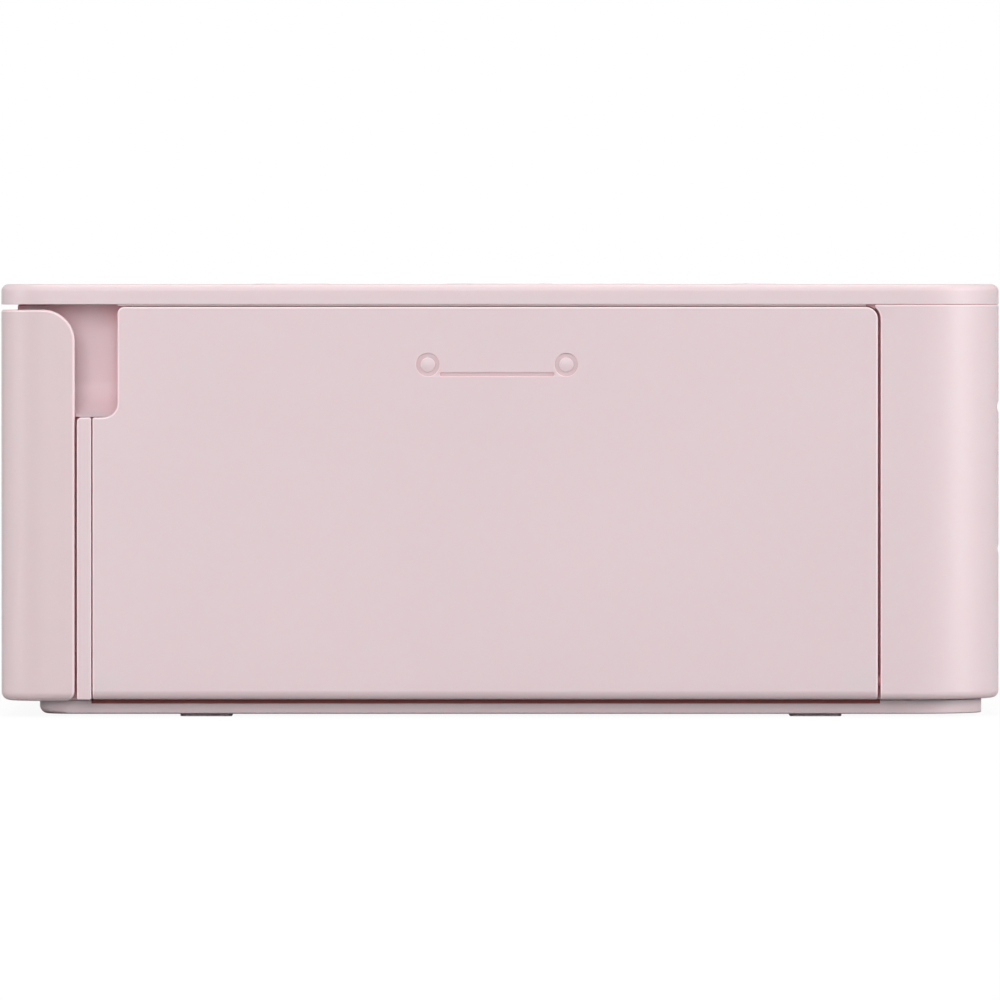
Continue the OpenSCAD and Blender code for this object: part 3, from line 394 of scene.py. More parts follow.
class Mat:
    """A Principled material and its nodes. The patterns' sizes are in millimetres on the object."""

    def __init__(self, name, rgb, rough, metal=0.0):
        self.m = bpy.data.materials.new(name)
        self.m.use_nodes = True
        self.t = self.m.node_tree
        self.p = self.t.nodes["Principled BSDF"]
        self.rgb = linear(rgb)
        self.set("Base Color", (*self.rgb, 1))
        self.set("Roughness", rough)
        self.set("Metallic", metal)
        self.m.diffuse_color = (*self.rgb, 1)
        self.at = self.t.nodes.new("ShaderNodeTexCoord").outputs["Object"]
        self.bump = None

    def set(self, name, value):
        self.p.inputs[name].default_value = value

    def node(self, kind, **inputs):
        n = self.t.nodes.new(kind)
        for k, v in inputs.items():
            n.inputs[k.replace("_", " ")].default_value = v
        return n

    def link(self, a, b):
        self.t.links.new(a, b)

    def stretched(self, scale):
        m = self.node("ShaderNodeMapping")
        m.inputs["Scale"].default_value = scale
        self.link(self.at, m.inputs["Vector"])
        return m.outputs["Vector"]

    def noise(self, size_mm, detail=2.0, stretch=None, rough=0.5):
        n = self.node("ShaderNodeTexNoise", Scale=1000.0 / size_mm, Detail=detail, Roughness=rough)
        self.link(self.stretched(stretch) if stretch else self.at, n.inputs["Vector"])
        return n.outputs["Fac"]

    def ramp(self, value, stops):
        r = self.t.nodes.new("ShaderNodeValToRGB")
        r.color_ramp.elements[0].position, r.color_ramp.elements[1].position = stops[0][0], stops[-1][0]
        r.color_ramp.elements[0].color, r.color_ramp.elements[1].color = stops[0][1], stops[-1][1]
        for at, c in stops[1:-1]:
            r.color_ramp.elements.new(at).color = c
        self.link(value, r.inputs["Fac"])
        return r.outputs["Color"]

    def shade(self, value, dark, light):
        """Colour between two brightnesses of the base colour, by a value."""
        a, b = [(*[min(1, c * k) for c in self.rgb], 1) for k in (dark, light)]
        self.link(self.ramp(value, [(0.3, a), (0.7, b)]), self.p.inputs["Base Color"])

    def tint(self, shares):
        """Multiplies the colour by another one."""
        socket = self.p.inputs["Base Color"]
        mix = self.t.nodes.new("ShaderNodeVectorMath")
        mix.operation = "MULTIPLY"
        self.link(socket.links[0].from_socket, mix.inputs[0])
        self.link(shares, mix.inputs[1])
        self.link(mix.outputs["Vector"], socket)

    def paint_edge_highlight(self, share):
        """Painted highlight: fine rounded edges are made a little lighter, by this share."""
        highlight_rim = self.t.nodes.new("ShaderNodeAttribute")
        highlight_rim.attribute_type = "GEOMETRY"
        highlight_rim.attribute_name = "highlight_rim"
        m = self.node("ShaderNodeMapRange")
        m.inputs["To Min"].default_value, m.inputs["To Max"].default_value = 1.0, 1.0 + share
        self.link(highlight_rim.outputs["Fac"], m.inputs["Value"])
        self.tint(m.outputs["Result"])

    def paint_gap_shade(self, rgb, reach):
        """Painted shade: the colour turns to a deeper tint where other surfaces stand close, found by ambient
        occlusion.
        """
        ao = self.node("ShaderNodeAmbientOcclusion", Distance=reach)
        ao.samples = 6
        full = [a / b for a, b in zip(linear(rgb), self.rgb)]
        stops = [(0.0, (*full, 1)), (0.3, (*[t ** 0.75 for t in full], 1)), (0.6, (1, 1, 1, 1))]
        self.tint(self.ramp(ao.outputs["AO"], stops))

    def roughness(self, value, low, high):
        m = self.node("ShaderNodeMapRange")
        m.inputs["To Min"].default_value, m.inputs["To Max"].default_value = low, high
        self.link(value, m.inputs["Value"])
        self.link(m.outputs["Result"], self.p.inputs["Roughness"])

    def height(self, value, depth_mm, strength=1.0):
        b = self.node("ShaderNodeBump", Strength=strength, Distance=depth_mm * MM)
        self.link(value, b.inputs["Height"])
        if self.bump:
            self.link(self.bump, b.inputs["Normal"])
        self.bump = b.outputs["Normal"]
        self.link(self.bump, self.p.inputs["Normal"])


def plastic(name, rgb, rough=0.42, grain=0.30, depth=0.004, vary=0.012, sub=0.0, deep=None, highlight_rim=0.2,
            reach=0.0018):
    """Moulded plastic with a fine grain. Deep is its painted shade, a tint in gaps, and reach how far in
    metres a gap counts; fine rounded edges get a painted highlight.
    """
    m = Mat(name, rgb, rough)
    if sub:
        m.set("Subsurface Weight", sub)
        m.set("Subsurface Radius", (1.0, 0.40, 0.42))
        m.set("Subsurface Scale", 0.0010)
    m.shade(m.noise(34, 2), 1 - vary, 1 + vary)
    # Painted highlight on the fine rounded edges
    m.paint_edge_highlight(highlight_rim)
    # Painted shade in gaps, where other surfaces stand close
    if deep:
        m.paint_gap_shade(deep, reach)
    m.roughness(m.noise(6, 3), rough - 0.04, rough + 0.04)
    m.height(m.noise(grain, 2), depth)
    m.height(m.noise(60, 1), 0.05, 0.25)
    return m.m


def metal(name, rgb, rough, stretch, size, depth=0.003):
    """Metal with streaks of a size in millimetres, drawn out by the stretch along each axis."""
    m = Mat(name, rgb, rough, 1.0)
    streak = m.noise(size, 4, stretch, 0.6)
    m.shade(streak, 0.94, 1.06)
    m.roughness(streak, rough - 0.07, rough + 0.09)
    m.height(streak, depth)
    return m.m


def spangle(name, rgb):
    """Zinc-coated sheet with the flat crystals of its coating."""
    m = Mat(name, rgb, 0.34, 1.0)
    v = m.node("ShaderNodeTexVoronoi", Scale=330.0)
    m.link(m.at, v.inputs["Vector"])
    m.shade(v.outputs["Color"], 0.90, 1.08)
    m.roughness(v.outputs["Color"], 0.28, 0.42)
    m.height(m.noise(0.8, 3), 0.003)
    return m.m


def rubber(name, rgb):
    m = Mat(name, rgb, 0.72)
    m.set("Specular IOR Level", 0.35)
    m.shade(m.noise(1.6, 3), 0.9, 1.1)
    m.height(m.noise(0.35, 3), 0.010)
    return m.m


def board(name, rgb):
    """Circuit board under its lacquer, with lighter tracks in a grid."""
    m = Mat(name, rgb, 0.34)
    m.set("Coat Weight", 0.25)
    brick = m.node("ShaderNodeTexBrick", Scale=1000.0 / 16)
    brick.inputs["Mortar Size"].default_value = 0.035
    brick.inputs["Color1"].default_value = (*m.rgb, 1)
    brick.inputs["Color2"].default_value = (*[c * 0.86 for c in m.rgb], 1)
    brick.inputs["Mortar"].default_value = (*[min(1, c * 1.9) for c in m.rgb], 1)
    m.link(m.at, brick.inputs["Vector"])
    m.link(brick.outputs["Color"], m.p.inputs["Base Color"])
    m.height(m.noise(0.5, 2), 0.004)
    return m.m


def film(name, rgb):
    m = Mat(name, rgb, 0.16)
    m.set("Coat Weight", 0.4)
    wave = m.node("ShaderNodeTexWave", Scale=1000.0 / 30, Distortion=0.6)
    m.link(m.at, wave.inputs["Vector"])
    m.shade(wave.outputs["Fac"], 0.93, 1.07)
    m.height(m.noise(9, 2, (1, 4, 1)), 0.02, 0.4)
    return m.m


def window(name):
    """Dark display glass: a black border round a slightly lighter picture area."""
    m = Mat(name, (9, 9, 11), 0.07)
    m.set("Coat Weight", 0.6)
    m.set("Coat Roughness", 0.03)
    sep = m.node("ShaderNodeSeparateXYZ")
    m.link(m.at, sep.inputs["Vector"])
    gate = None
    for axis, mid, half in (("X", LCD[0], 36.0), ("Y", LCD[1], 27.0)):
        away = m.node("ShaderNodeMath")
        away.operation = "SUBTRACT"
        away.inputs[1].default_value = mid * MM
        m.link(sep.outputs[axis], away.inputs[0])
        size = m.node("ShaderNodeMath")
        size.operation = "ABSOLUTE"
        m.link(away.outputs[0], size.inputs[0])
        inside = m.node("ShaderNodeMapRange")
        inside.inputs["From Min"].default_value = (half + 0.15) * MM
        inside.inputs["From Max"].default_value = (half - 0.15) * MM
        m.link(size.outputs[0], inside.inputs["Value"])
        if gate is None:
            gate = inside.outputs["Result"]
        else:
            both = m.node("ShaderNodeMath")
            both.operation = "MULTIPLY"
            m.link(gate, both.inputs[0])
            m.link(inside.outputs["Result"], both.inputs[1])
            gate = both.outputs[0]
    border, picture = (0.0028, 0.0028, 0.0034, 1), (0.010, 0.011, 0.014, 1)
    m.link(m.ramp(gate, [(0.0, border), (1.0, picture)]), m.p.inputs["Base Color"])
    m.roughness(m.noise(20, 2), 0.05, 0.10)
    return m.m


# Colours are sRGB values from 0 to 255. The gap colour below is painted shade: the tint the shells take in
# their gaps.
GAP_SHADE = (230, 150, 156)
SHELL = plastic("pink_shell", (223, 204, 208), 0.40, sub=0.3, deep=GAP_SHADE)
COVER = plastic("pink_cover", (220, 200, 203), 0.42, sub=0.3, deep=GAP_SHADE)
# The scoop's pink is lighter than the shell's, painted light for its shaded recess, and it takes painted
# shade in gaps within 5 mm
SCOOP_PAINTED_LIGHT = plastic("pink_scoop_painted_light", (242, 216, 221), 0.42, sub=0.3, deep=(240, 186, 191), reach=0.005)
# The base takes a grey painted shade where it comes close to the floor and the parts above it, and no painted
# highlight on its edges
BASE = plastic("pink_base", (223, 204, 208), 0.42, sub=0.3, deep=(130, 114, 116), highlight_rim=0.0, reach=0.0012)
# Dark red of the block in the slot under the ink door: painted shade
SLOT_SHADE = plastic("pink_slot_shade", (172, 96, 94), 0.5)
BAY = plastic("pink_bay", (205, 184, 188), 0.50, sub=0.3)
KEYS = plastic("pink_key", (226, 208, 212), 0.36, grain=0.22, sub=0.10)
ICON = plastic("icon_grey", (140, 118, 124), 0.5, grain=0.15)
# The feet's colour is made very pale, painted light that lifts them in the shade under the base
FEET_PAINTED_LIGHT = rubber("foot_rubber", (240, 224, 228))
LOOKS = {
    "shell_pink": SHELL,
    "key_pink": KEYS,
    "bay_pink": BAY,
    "foot_rubber": FEET_PAINTED_LIGHT,
    "window_black": window("display_glass"),
    "panel_grey": plastic("panel_grey", (52, 54, 60), 0.45),
    "board_green": board("board_green", (26, 84, 52)),
    "socket_steel": metal("socket_plating", (205, 205, 208), 0.22, (1, 1, 8), 1.5),
    "black_plastic": plastic("black_plastic", (36, 36, 39), 0.46, grain=0.25, depth=0.008, vary=0.05),
    "sheet_steel": spangle("zinc_sheet", (190, 192, 196)),
    "bright_steel": metal("bright_steel", (212, 212, 215), 0.20, (10, 1, 1), 1.2),
    "motor_steel": metal("motor_can", (172, 174, 178), 0.30, (1, 8, 8), 3.0),
    "head_alu": metal("head_aluminium", (206, 208, 212), 0.34, (1, 22, 22), 6.0, 0.006),
    "head_ceramic": plastic("head_ceramic", (232, 227, 214), 0.22, grain=0.1, depth=0.001),
    "gear_white": plastic("gear_acetal", (226, 224, 214), 0.38, grain=0.2, depth=0.002),
    "roller_rubber": rubber("roller_rubber", (44, 44, 47)),
    "knurled_steel": metal("grit_steel", (165, 167, 171), 0.45, (1, 1, 1), 0.35, 0.02),
    "ribbon_magenta": film("ribbon_magenta", (170, 40, 104)),
    "ribbon_yellow": film("ribbon_yellow", (214, 178, 44)),
    "lever_green": plastic("lever_green", (150, 186, 176), 0.42),
}

# The solids that show as they are: a material by their slot, and fine rounded edges
SLOT_OF = {row["node"]: row["material_slot"] for row in frame["record"]["subparts"]}
for node, ob in frame["nodes"].items():
    ob.data.materials.clear()
    ob.data.materials.append(LOOKS[SLOT_OF[node]])
    weld = ob.modifiers.new("weld", "WELD")
    weld.merge_threshold = 1e-6
    bevel = ob.modifiers.new("edges", "BEVEL")
    bevel.width = 0.00012
    bevel.segments = 2
    bevel.limit_method = "ANGLE"
    bevel.angle_limit = math.radians(SHARP)
    bevel.use_clamp_overlap = True
    ob.modifiers.new("even_shading", "WEIGHTED_NORMAL")


# ---- Casing, base and feet ----

def side_s(y):
    """Way along the rear wall's plan at which the left side is at y."""
    return HALF_W - REAR_R + REAR_R * math.pi / 2 + (REAR_Y - REAR_R) - y


def casing():
    f, cuts = round_rear(HALF_W, REAR_Y, REAR_R)
    right, left = -side_s(JAMB_Y), side_s(STRIP_Y0)
    # The jamb follows the door's rounded corner
    c, r = (-side_s(DOOR_Y1 - DOOR_R), DOOR_Z1 - DOOR_R), DOOR_R + JAMB_Y - DOOR_Y1
    line = rounded([
        (right, SHELL_Z0, 0.3), (left, SHELL_Z0, 0.3), (left, SHELL_Z1, 0.3), (c[0] + 1.25, SHELL_Z1, 0.22),
        (c[0] + 1.25, c[1] + 1.52, 0.1), *sharp(arc_points(c, r, 48, 0, 12))])
    vents = [VENT_Y + VENT_PITCH * i for i in range(12)]
    holes = [rect(*REAR_OPENING, 1.0)]
    holes += [rect(side_s(y + VENT_W), VENT_Z0, side_s(y), VENT_Z1, 0.55) for y in vents]
    holes.append(rect(side_s(CARD_SLOT[0]), CARD_SLOT[1], side_s(CARD_SLOT[2]), CARD_SLOT[3], 0.5))
    holes.append(pill(side_s(SOCKET[0]), *SOCKET[1:]))
    shell = rolled(slab(line, -WALL, 0, 0.1, 0.22, holes=holes, steps=4), SHELL_Z0, 1.0)
    parts = [grooved(mapped(cut(cut(shell, 0, cuts), 1, groove_cuts()), f))]
    for s in (-1, 1):
        x, y = s * CASING_BOSS[0], CASING_BOSS[1]
        x0, x1 = sorted((x, s * INNER_X))
        parts.append(rod("+z", (x, y), BOSS_R, BASE_Z1, BOSS_Z1))
        parts.append(block((x0, y - 0.7, SHELL_Z0), (x1, y + 0.7, BOSS_Z1)))
    # Ledges for the socket board
    for y in (-48.4, -11):
        parts.append(block((-INNER_X, y, 34), (-85.5, y + 2, 35.6)))
    # Boss for the door's hinge pin, and the rebates that close the gap at the door's rear edge
    hinge_top, top, rebate_x = 8.2, SHELL_Z1 - 0.1, 87.6
    parts.append(block((87, JAMB_Y + 0.02, 3.1), (INNER_X, JAMB_Y + 4, 6.5), 0.3))
    parts.append(block((rebate_x, JAMB_Y - 1.6, hinge_top), (88.85, JAMB_Y + 1, top), 0.15))
    parts.append(block((rebate_x, JAMB_Y - 4, DOOR_Z1 - DOOR_R), (88.75, JAMB_Y + 1, top), 0.15))
    parts.append(block((rebate_x, DOOR_Y1 + 0.06, SHELL_Z0), (88.75, JAMB_Y + 1, hinge_top + 0.1), 0.15))
    c, r = (DOOR_Y1 - DOOR_R, DOOR_Z1 - DOOR_R), DOOR_R + 0.14
    web = arc_points(c, r, 45, 90, 9) + [(c[0], SHELL_Z1 - 0.02), (c[0] + 1.5, SHELL_Z1 - 0.02)]
    parts.append(plate("+x", rounded(sharp(web)), 88, 90.4, 0.02, 0.02))
    piece("casing_shell", parts, SHELL, "body", ["casing"])


def base():
    def under(p):
        """The lower edge is rounded more at the front end."""
        return 0.2 + 0.9 * max(0.0, min(1.0, (-57.5 - p.y) / 3.4)) ** 0.7
    plan = body_plan(*BASE_IN)
    heads, shanks = [circle(x, y, 3.2) for x, y in SCREWS], [circle(x, y, 1.4, 24) for x, y in SCREWS]
    low = slab(plan, BASE_Z0, BASE_STEP, under, 0, holes=heads, steps=6)
    # The upper step stands back under the ink door. A dark red block fills that place, painted shade for the
    # slot under the door
    x0, x1, y0, y1 = 86.0, HALF_W - BASE_IN[0], DOOR_Y0 - 0.2, JAMB_Y
    line = [p for p in plan if p.y < y0]
    line += [Vector(p) for p in ((x1, y0), (x0, y0), (x0, y1), (x1, y1))]
    line += [p for p in plan if p.y >= y1 or (p.x <= x0 and p.y >= y0)]
    high = slab(line, BASE_STEP, BASE_Z1, 0, 0.1, holes=shanks, steps=2)
    piece("base_tray", [low, high], BASE, "body", ["base_plate"])
    slot_shade_block = block((x0 - 0.1, y0 + 0.05, BASE_STEP - 0.05), (87.4, y1 - 0.05, BASE_Z1 - 0.03), 0.1)
    piece("door_slot_shade", [slot_shade_block], SLOT_SHADE, "body")


def feet():
    pads = [rect_at(s * FOOT_X, y, FOOT, FOOT, 0.9) for s in (-1, 1) for y in FOOT_YS]
    parts = [slab(pad, 0, BASE_Z0 + 0.02, 0.1, 0) for pad in pads]
    piece("foot_pads", parts, FEET_PAINTED_LIGHT, "body", ["feet"])


# ---- Front cover, front frame and ink door ----

def front_cover():
    f, cuts = round_front(HALF_W, FRONT_Y, FRONT_R)
    s = HALF_W - FRONT_R + FRONT_R * math.pi / 2 + WING_Y - FRONT_Y - FRONT_R
    line = rounded([(-s, COVER_Z0, 1.3), (s, COVER_Z0, 1.3), (s, COVER_Z1, 4.2), (-s, COVER_Z1, 4.2)], 12)
    skin = rolled(slab(line, -WALL, 0, 0.15, 0.3, steps=5), COVER_Z0, 1.2)
    parts = [mapped(cut(skin, 0, cuts), f)]
    # Hinge lugs, and two stiffening ribs on the inside
    (y, z), r, half = COVER_PIN, 1.35, 1.5
    for x in (-COVER_HINGE_X, COVER_HINGE_X):
        parts.append(rod("+x", COVER_PIN, r, x - half, x + half))
        parts.append(block((x - half, y - 1.6, z - r), (x + half, y, z + r), 0.15))
    for z in (12, 47):
        parts.append(block((-70, FRONT_Y + WALL - 0.1, z), (70, FRONT_Y + WALL + 0.9, z + 1.1), 0.2))
    piece("front_cover_shell", parts, COVER, "front_cover", ["front_cover"])


def front_frame():
    bend, behind = 4, 11.4
    f, cuts = round_front(SCOOP_X, FRONT_Y + 2.1, bend)
    half = SCOOP_X - bend + bend * math.pi / 2 + behind
    z0, z1 = COVER_PIN[1], SHELL_Z1
    # The lower edge leaves room for the cover's hinge lugs
    corners = [(-half, z0, 0.2)]
    for x in (-COVER_HINGE_X, COVER_HINGE_X):
        corners += [(x - 1.8, z0, 0.15), (x - 1.8, 6.1, 0.3), (x + 1.8, 6.1, 0.3), (x + 1.8, z0, 0.15)]
    corners += [(half, z0, 0.2), (half, z1, 0.2), (-half, z1, 0.2)]
    shell = slab(rounded(corners, 4), -1.6, 0, 0.15, 0.25, holes=[rect(*BAY_MOUTH, 1.2)])
    parts = [mapped(cut(shell, 0, cuts), f)]
    # The narrow strip beside the door, and the block that carries it
    parts.append(block((84.6, -60, BASE_Z1 + 0.05), (88.8, STRIP_Y1, 8.7), 0.1))
    strip = [(STRIP_Y0, SHELL_Z0, 0.3), (STRIP_Y1, SHELL_Z0, 0.3), (STRIP_Y1, NOTCH_Z, 0.3),
             (STRIP_Y0, NOTCH_Z, 0.6)]
    parts.append(plate("+x", rounded(strip, 8), 88, HALF_W, 0.1, 0.16))
    # Flange behind the ink door, with room below it for the door's hinge
    parts.append(block((85, -50, 8.6), (88.7, -49, SHELL_Z1 - 0.02), 0.2))
    parts.append(block((85, -50, 3.7), (86.15, -49.02, 8.8), 0.1))
    for s in (-1, 1):
        for c in (-2.3, 2.3):
            x = s * COVER_HINGE_X + c
            parts.append(rod("+x", COVER_PIN, 1.3, x - 0.5, x + 0.5))
        x, y = s * FRAME_BOSS[0], FRAME_BOSS[1]
        x0, x1 = sorted((x, s * 85))
        parts.append(rod("+z", (x, y), BOSS_R, BASE_Z1, BOSS_Z1))
        parts.append(block((x0, y - 0.7, z0), (x1, y + 0.7, BOSS_Z1)))
    piece("front_frame_shell", parts, SHELL, "body", ["front_frame"])


def scoop():
    """The finger scoop's curved floor runs on behind the wing and the door. A thin lip ends it outside."""
    r = SCOOP_R - 0.03
    top, skin, lip_x = SHELL_Z1 - 0.02, 88.8, 90.3
    arc = arc_points((SCOOP_X + SCOOP_R, NOTCH_Z + SCOOP_R), r, 267, 180, 29)
    wall = [(84.5, 8.6), (skin, 8.6)] + [p for p in arc if p[0] < skin] + [(SCOOP_X + 0.03, top), (84.5, top)]
    edge = [p for p in arc if skin - 0.1 < p[0] < lip_x]
    lip = [(edge[-1][0], NOTCH_Z + 0.07), (lip_x, NOTCH_Z + 0.07)] + edge
    parts = [plate("-y", rounded(sharp(wall)), 49, 60, 0.02, 0.02)]
    parts.append(plate("-y", rounded(sharp(lip)), -NOTCH_Y1 + 0.05, 56.55, 0.01, 0.01))
    piece("scoop_wall", parts, SCOOP_PAINTED_LIGHT, "body")


def ink_door():
    line = rounded([
        (DOOR_Y0, DOOR_Z0, 0.25), (DOOR_Y1, DOOR_Z0, 0.25), (DOOR_Y1, DOOR_Z1, DOOR_R),
        (NOTCH_Y1, DOOR_Z1, 0.9), (NOTCH_Y1, NOTCH_Z, 1.9), (DOOR_Y0, NOTCH_Z, 0.3)], 10)
    # Engraved pictogram: two spools and the film between them
    mid, spool_z, deep = -0.5, 46.8, 0.25
    pockets = [(rect(mid - 7.6, 45.25, mid + 7.6, 45.75, 0.2), deep, [])]
    for y in (mid - 9.2, mid + 9.2):
        pockets.append((circle(y, spool_z, 1.55, 40), deep, [circle(y, spool_z, 0.95, 32)]))
    skin = slab(line, DOOR_BACK, HALF_W, 0.15, 0.22, pockets=pockets, steps=4)
    parts = [mapped(rolled(skin, DOOR_Z0, 1.2, HALF_W), FACES["+x"])]
    # Hinge lugs, a frame of ribs, and the latch hook at the top
    for y in (DOOR_Y0 + 0.2, DOOR_Y1 - 4.2):
        parts.append(rod("+y", (-INNER_X, DOOR_PIN_Z), 1.6, y, y + 4))
        parts.append(block((87.6, y, DOOR_PIN_Z), (89.5, y + 4, 7.8), 0.2))
    rib_x, y0, y1 = 87.4, -44, 46
    for z in (14, 50.4):
        parts.append(block((rib_x, y0, z), (INNER_X, y1, z + 1.2)))
    for y in (y0, y1 - 1.2):
        parts.append(block((rib_x, y, 10), (INNER_X, y + 1.2, 50.8)))
    parts.append(block((84.6, 21, 51.6), (INNER_X, 27, 52.8)))
    parts.append(block((84.6, 21, 51.6), (85.6, 27, 53.4)))
    piece("ink_door_panel", parts, SHELL, "ink_door", ["ink_door"])


def rear_panel():
    # Paper slot, inlet and two fields of vents in two rows
    holes = [rect(-53, 13.6, 53, 20.6, 1.2), circle(64.6, 10.5, 3.1, 40)]
    for s in (-1, 1):
        for i in range(8):
            x = s * 52 - 12.5 + 3.4 * i
            holes += [rect(x - 0.9, z0, x + 0.9, z1, 0.85, 6) for z0, z1 in ((26, 39), (43.6, 50))]
    panel = slab(rect(-72.4, 4.6, 72.4, 52.9, 0.8), -WALL, 0, 0.15, 0.25, holes=holes)
    parts = [grooved(mapped(cut(panel, 1, groove_cuts()), lambda u, v, w: (-u, REAR_Y + w, v)))]
    inside = [rect(-71, 6, 71, 51.6, 0.5)]
    parts.append(plate("+y", rect(-74.4, 3, 74.4, 54, 0.5), 63.3, 64.45, 0.1, 0.1, holes=inside, steps=2))
    piece("rear_panel_shell", parts, SHELL, "body", ["rear_panel"])


# ---- Top plate, display and keys ----

def top_plate():
    x, y, w, d = LCD
    holes = [rect_at(x, y, w / 2 + LCD_GAP, d / 2 + LCD_GAP, 2.5, 8)]
    holes += [circle(*PAD, PAD_R + KEY_GAP, 96), circle(*POWER_AT, POWER_R + KEY_GAP, 56)]
    holes += [pill(a, b, c + 2 * KEY_GAP, e + 2 * KEY_GAP) for a, b, c, e in KEY_AT.values()]

    def high(p):
        """The outer edge is well rounded, the edges of the holes only a little."""
        to_rim = min(HALF_W - abs(p.x), p.y - FRONT_Y, REAR_Y - p.y)
        off_power = abs(math.hypot(p.x - POWER_AT[0], p.y - POWER_AT[1]) - POWER_R - KEY_GAP)
        return 0.95 if to_rim < 9 and off_power > 0.01 else 0.2
    parts = [slab(body_plan(), PLATE_Z0, PLATE_Z1, 0.1, high, holes=holes, steps=7)]
    ledge, opening = rect_at(x, y, 41.6, 31.6, 2.5), rect_at(x, y, 37.5, 27.5, 1.5)
    parts.append(slab(ledge, PLATE_Z0 + 0.01, PLATE_Z1 - 1.2, 0.1, 0.1, holes=[opening], steps=2))
    # Lip in the gap above the ink door
    parts.append(block((88.3, NOTCH_Y1, PLATE_Z0 - 0.18), (90.8, DOOR_Y1 - 1.6, PLATE_Z0 + 0.2), 0.05))
    parts += [rod("+z", at, 1.8, 51.9, PLATE_Z0 + 0.4) for at in BOARD_POSTS]
    piece("top_shell", parts, SHELL, "body", ["top_plate"])


def lcd():
    x, y, w, d = LCD
    glass = slab(rect_at(x, y, w / 2, d / 2, 2.3, 8), PLATE_Z1 - 1.15, PLATE_Z1 - 0.05, 0.1, 0.18)
    piece("display_window", [glass], LOOKS["window_black"], "body", ["lcd_window"])


def cap(outline, stem, flange, edge=0.35):
    """A key: its cap, the flange that holds it in, and the stem that presses its switch."""
    parts = [slab(outline, KEY_Z - KEY_DEEP, KEY_Z, 0.1, edge, steps=5)]
    if flange:
        parts.append(slab(flange, KEY_Z - KEY_DEEP + 0.01, KEY_Z - 3.0, 0.1, 0.1, steps=2))
    parts.append(rod("+z", stem, 1.5, 53, 54.5))
    return parts


def quarter(a, r0, r1, gap):
    """One quarter of a ring, pointing at angle a, with gaps of that width to its neighbours."""
    n, corner_r = 18, 0.405
    corners = []
    for r, order in ((r1, range(n + 1)), (r0, range(n, -1, -1))):
        half = math.pi / 4 - math.asin(gap / 2 / r)
        for i in order:
            t = half * (2 * i / n - 1) + math.radians(a)
            at_end = i in (0, n)
            corners.append((PAD[0] + r * math.cos(t), PAD[1] + r * math.sin(t), corner_r if at_end else 0))
    return rounded(corners, 4)


def icon(name, loops, body):
    """A printed mark, a hair's breadth proud of its key."""
    parts = [slab(outline, KEY_Z - 0.005, KEY_Z + 0.015, holes=inner) for outline, inner in loops]
    piece(name, parts, ICON, body)


def stroke(points, w):
    """A line of width w through points, as one outline with rounded ends."""
    pts = [Vector(p) for p in points]
    left, right = [], []
    for i, p in enumerate(pts):
        a = (p - pts[i - 1]).normalized() if i else None
        b = (pts[i + 1] - p).normalized() if i + 1 < len(pts) else None
        na = Vector((-a.y, a.x)) if a else None
        nb = Vector((-b.y, b.x)) if b else None
        n = (na + nb) / (1 + na.dot(nb)) if a and b else (na or nb)
        left.append(p + n * w / 2)
        right.append(p - n * w / 2)
    ends = (0, len(pts) - 1, len(pts), 2 * len(pts) - 1)
    loop = right + left[::-1]
    return rounded([(p.x, p.y, w * 0.45 if i in ends else 0) for i, p in enumerate(loop)], 4)


def power_key():
    x, y = POWER_AT
    parts = cap(circle(x, y, POWER_R, 56), POWER_AT, circle(x, y, POWER_R + 1, 40))
    piece("power_key", parts, KEYS, "power_button", ["power_button"])
    lines = (arc_points(POWER_AT, 1.75, 130, 410), [(x, y + 0.5), (x, y + 2.5)])
    icon("power_mark", [(stroke(line, 0.38), []) for line in lines], "power_button")


def oblong_keys():
    for name, (x, y, w, h) in KEY_AT.items():
        parts = cap(pill(x, y, w, h), (x, y), pill(x, y, w + 2, h + 2))
        piece(name + "_cap", parts, KEYS, name, [name])
    # A house, an arrow back, and a picture
    x, y = KEY_AT["home_button"][:2]
    house = [(-1.35, -1.5, 0.15), (1.35, -1.5, 0.15), (1.35, 0.15, 0), (1.95, 0.15, 0.12), (0, 1.9, 0.12),
             (-1.95, 0.15, 0.12), (-1.35, 0.15, 0)]
    way_in = rect(x - 0.42, y - 1.2, x + 0.42, y + 0.1, 0.1)
    icon("home_mark", [(rounded(moved(house, x, y), 3), [way_in])], "home_button")
    x, y = KEY_AT["back_button"][:2]
    bend = arc_points((x + 0.9, y - 0.3), 1.0, 90, -90, 12)
    line = [(x - 1.5, y + 0.7), (x + 0.9, y + 0.7)] + bend[1:] + [(x - 1.0, y - 1.3)]
    head = [(-2.3, 0.7, 0.08), (-1.15, -0.15, 0.08), (-1.15, 1.55, 0.08)]
    icon("back_mark", [(stroke(line, 0.36), []), (rounded(moved(head, x, y), 3), [])], "back_button")
    x, y = KEY_AT["print_button"][:2]
    frame_line = (rect_at(x, y, 1.9, 2.3, 0.3), [rect_at(x, y, 1.5, 1.9, 0.15)])
    hills = [(-1.2, -1.5, 0.08), (1.2, -1.5, 0.08), (0.35, 0.1, 0.08), (-0.1, -0.5, 0.05), (-0.5, -0.1, 0.08)]
    sun = circle(x + 0.75, y + 1.0, 0.38, 20)
    icon("print_mark", [frame_line, (rounded(moved(hills, x, y), 3), []), (sun, [])], "print_button")


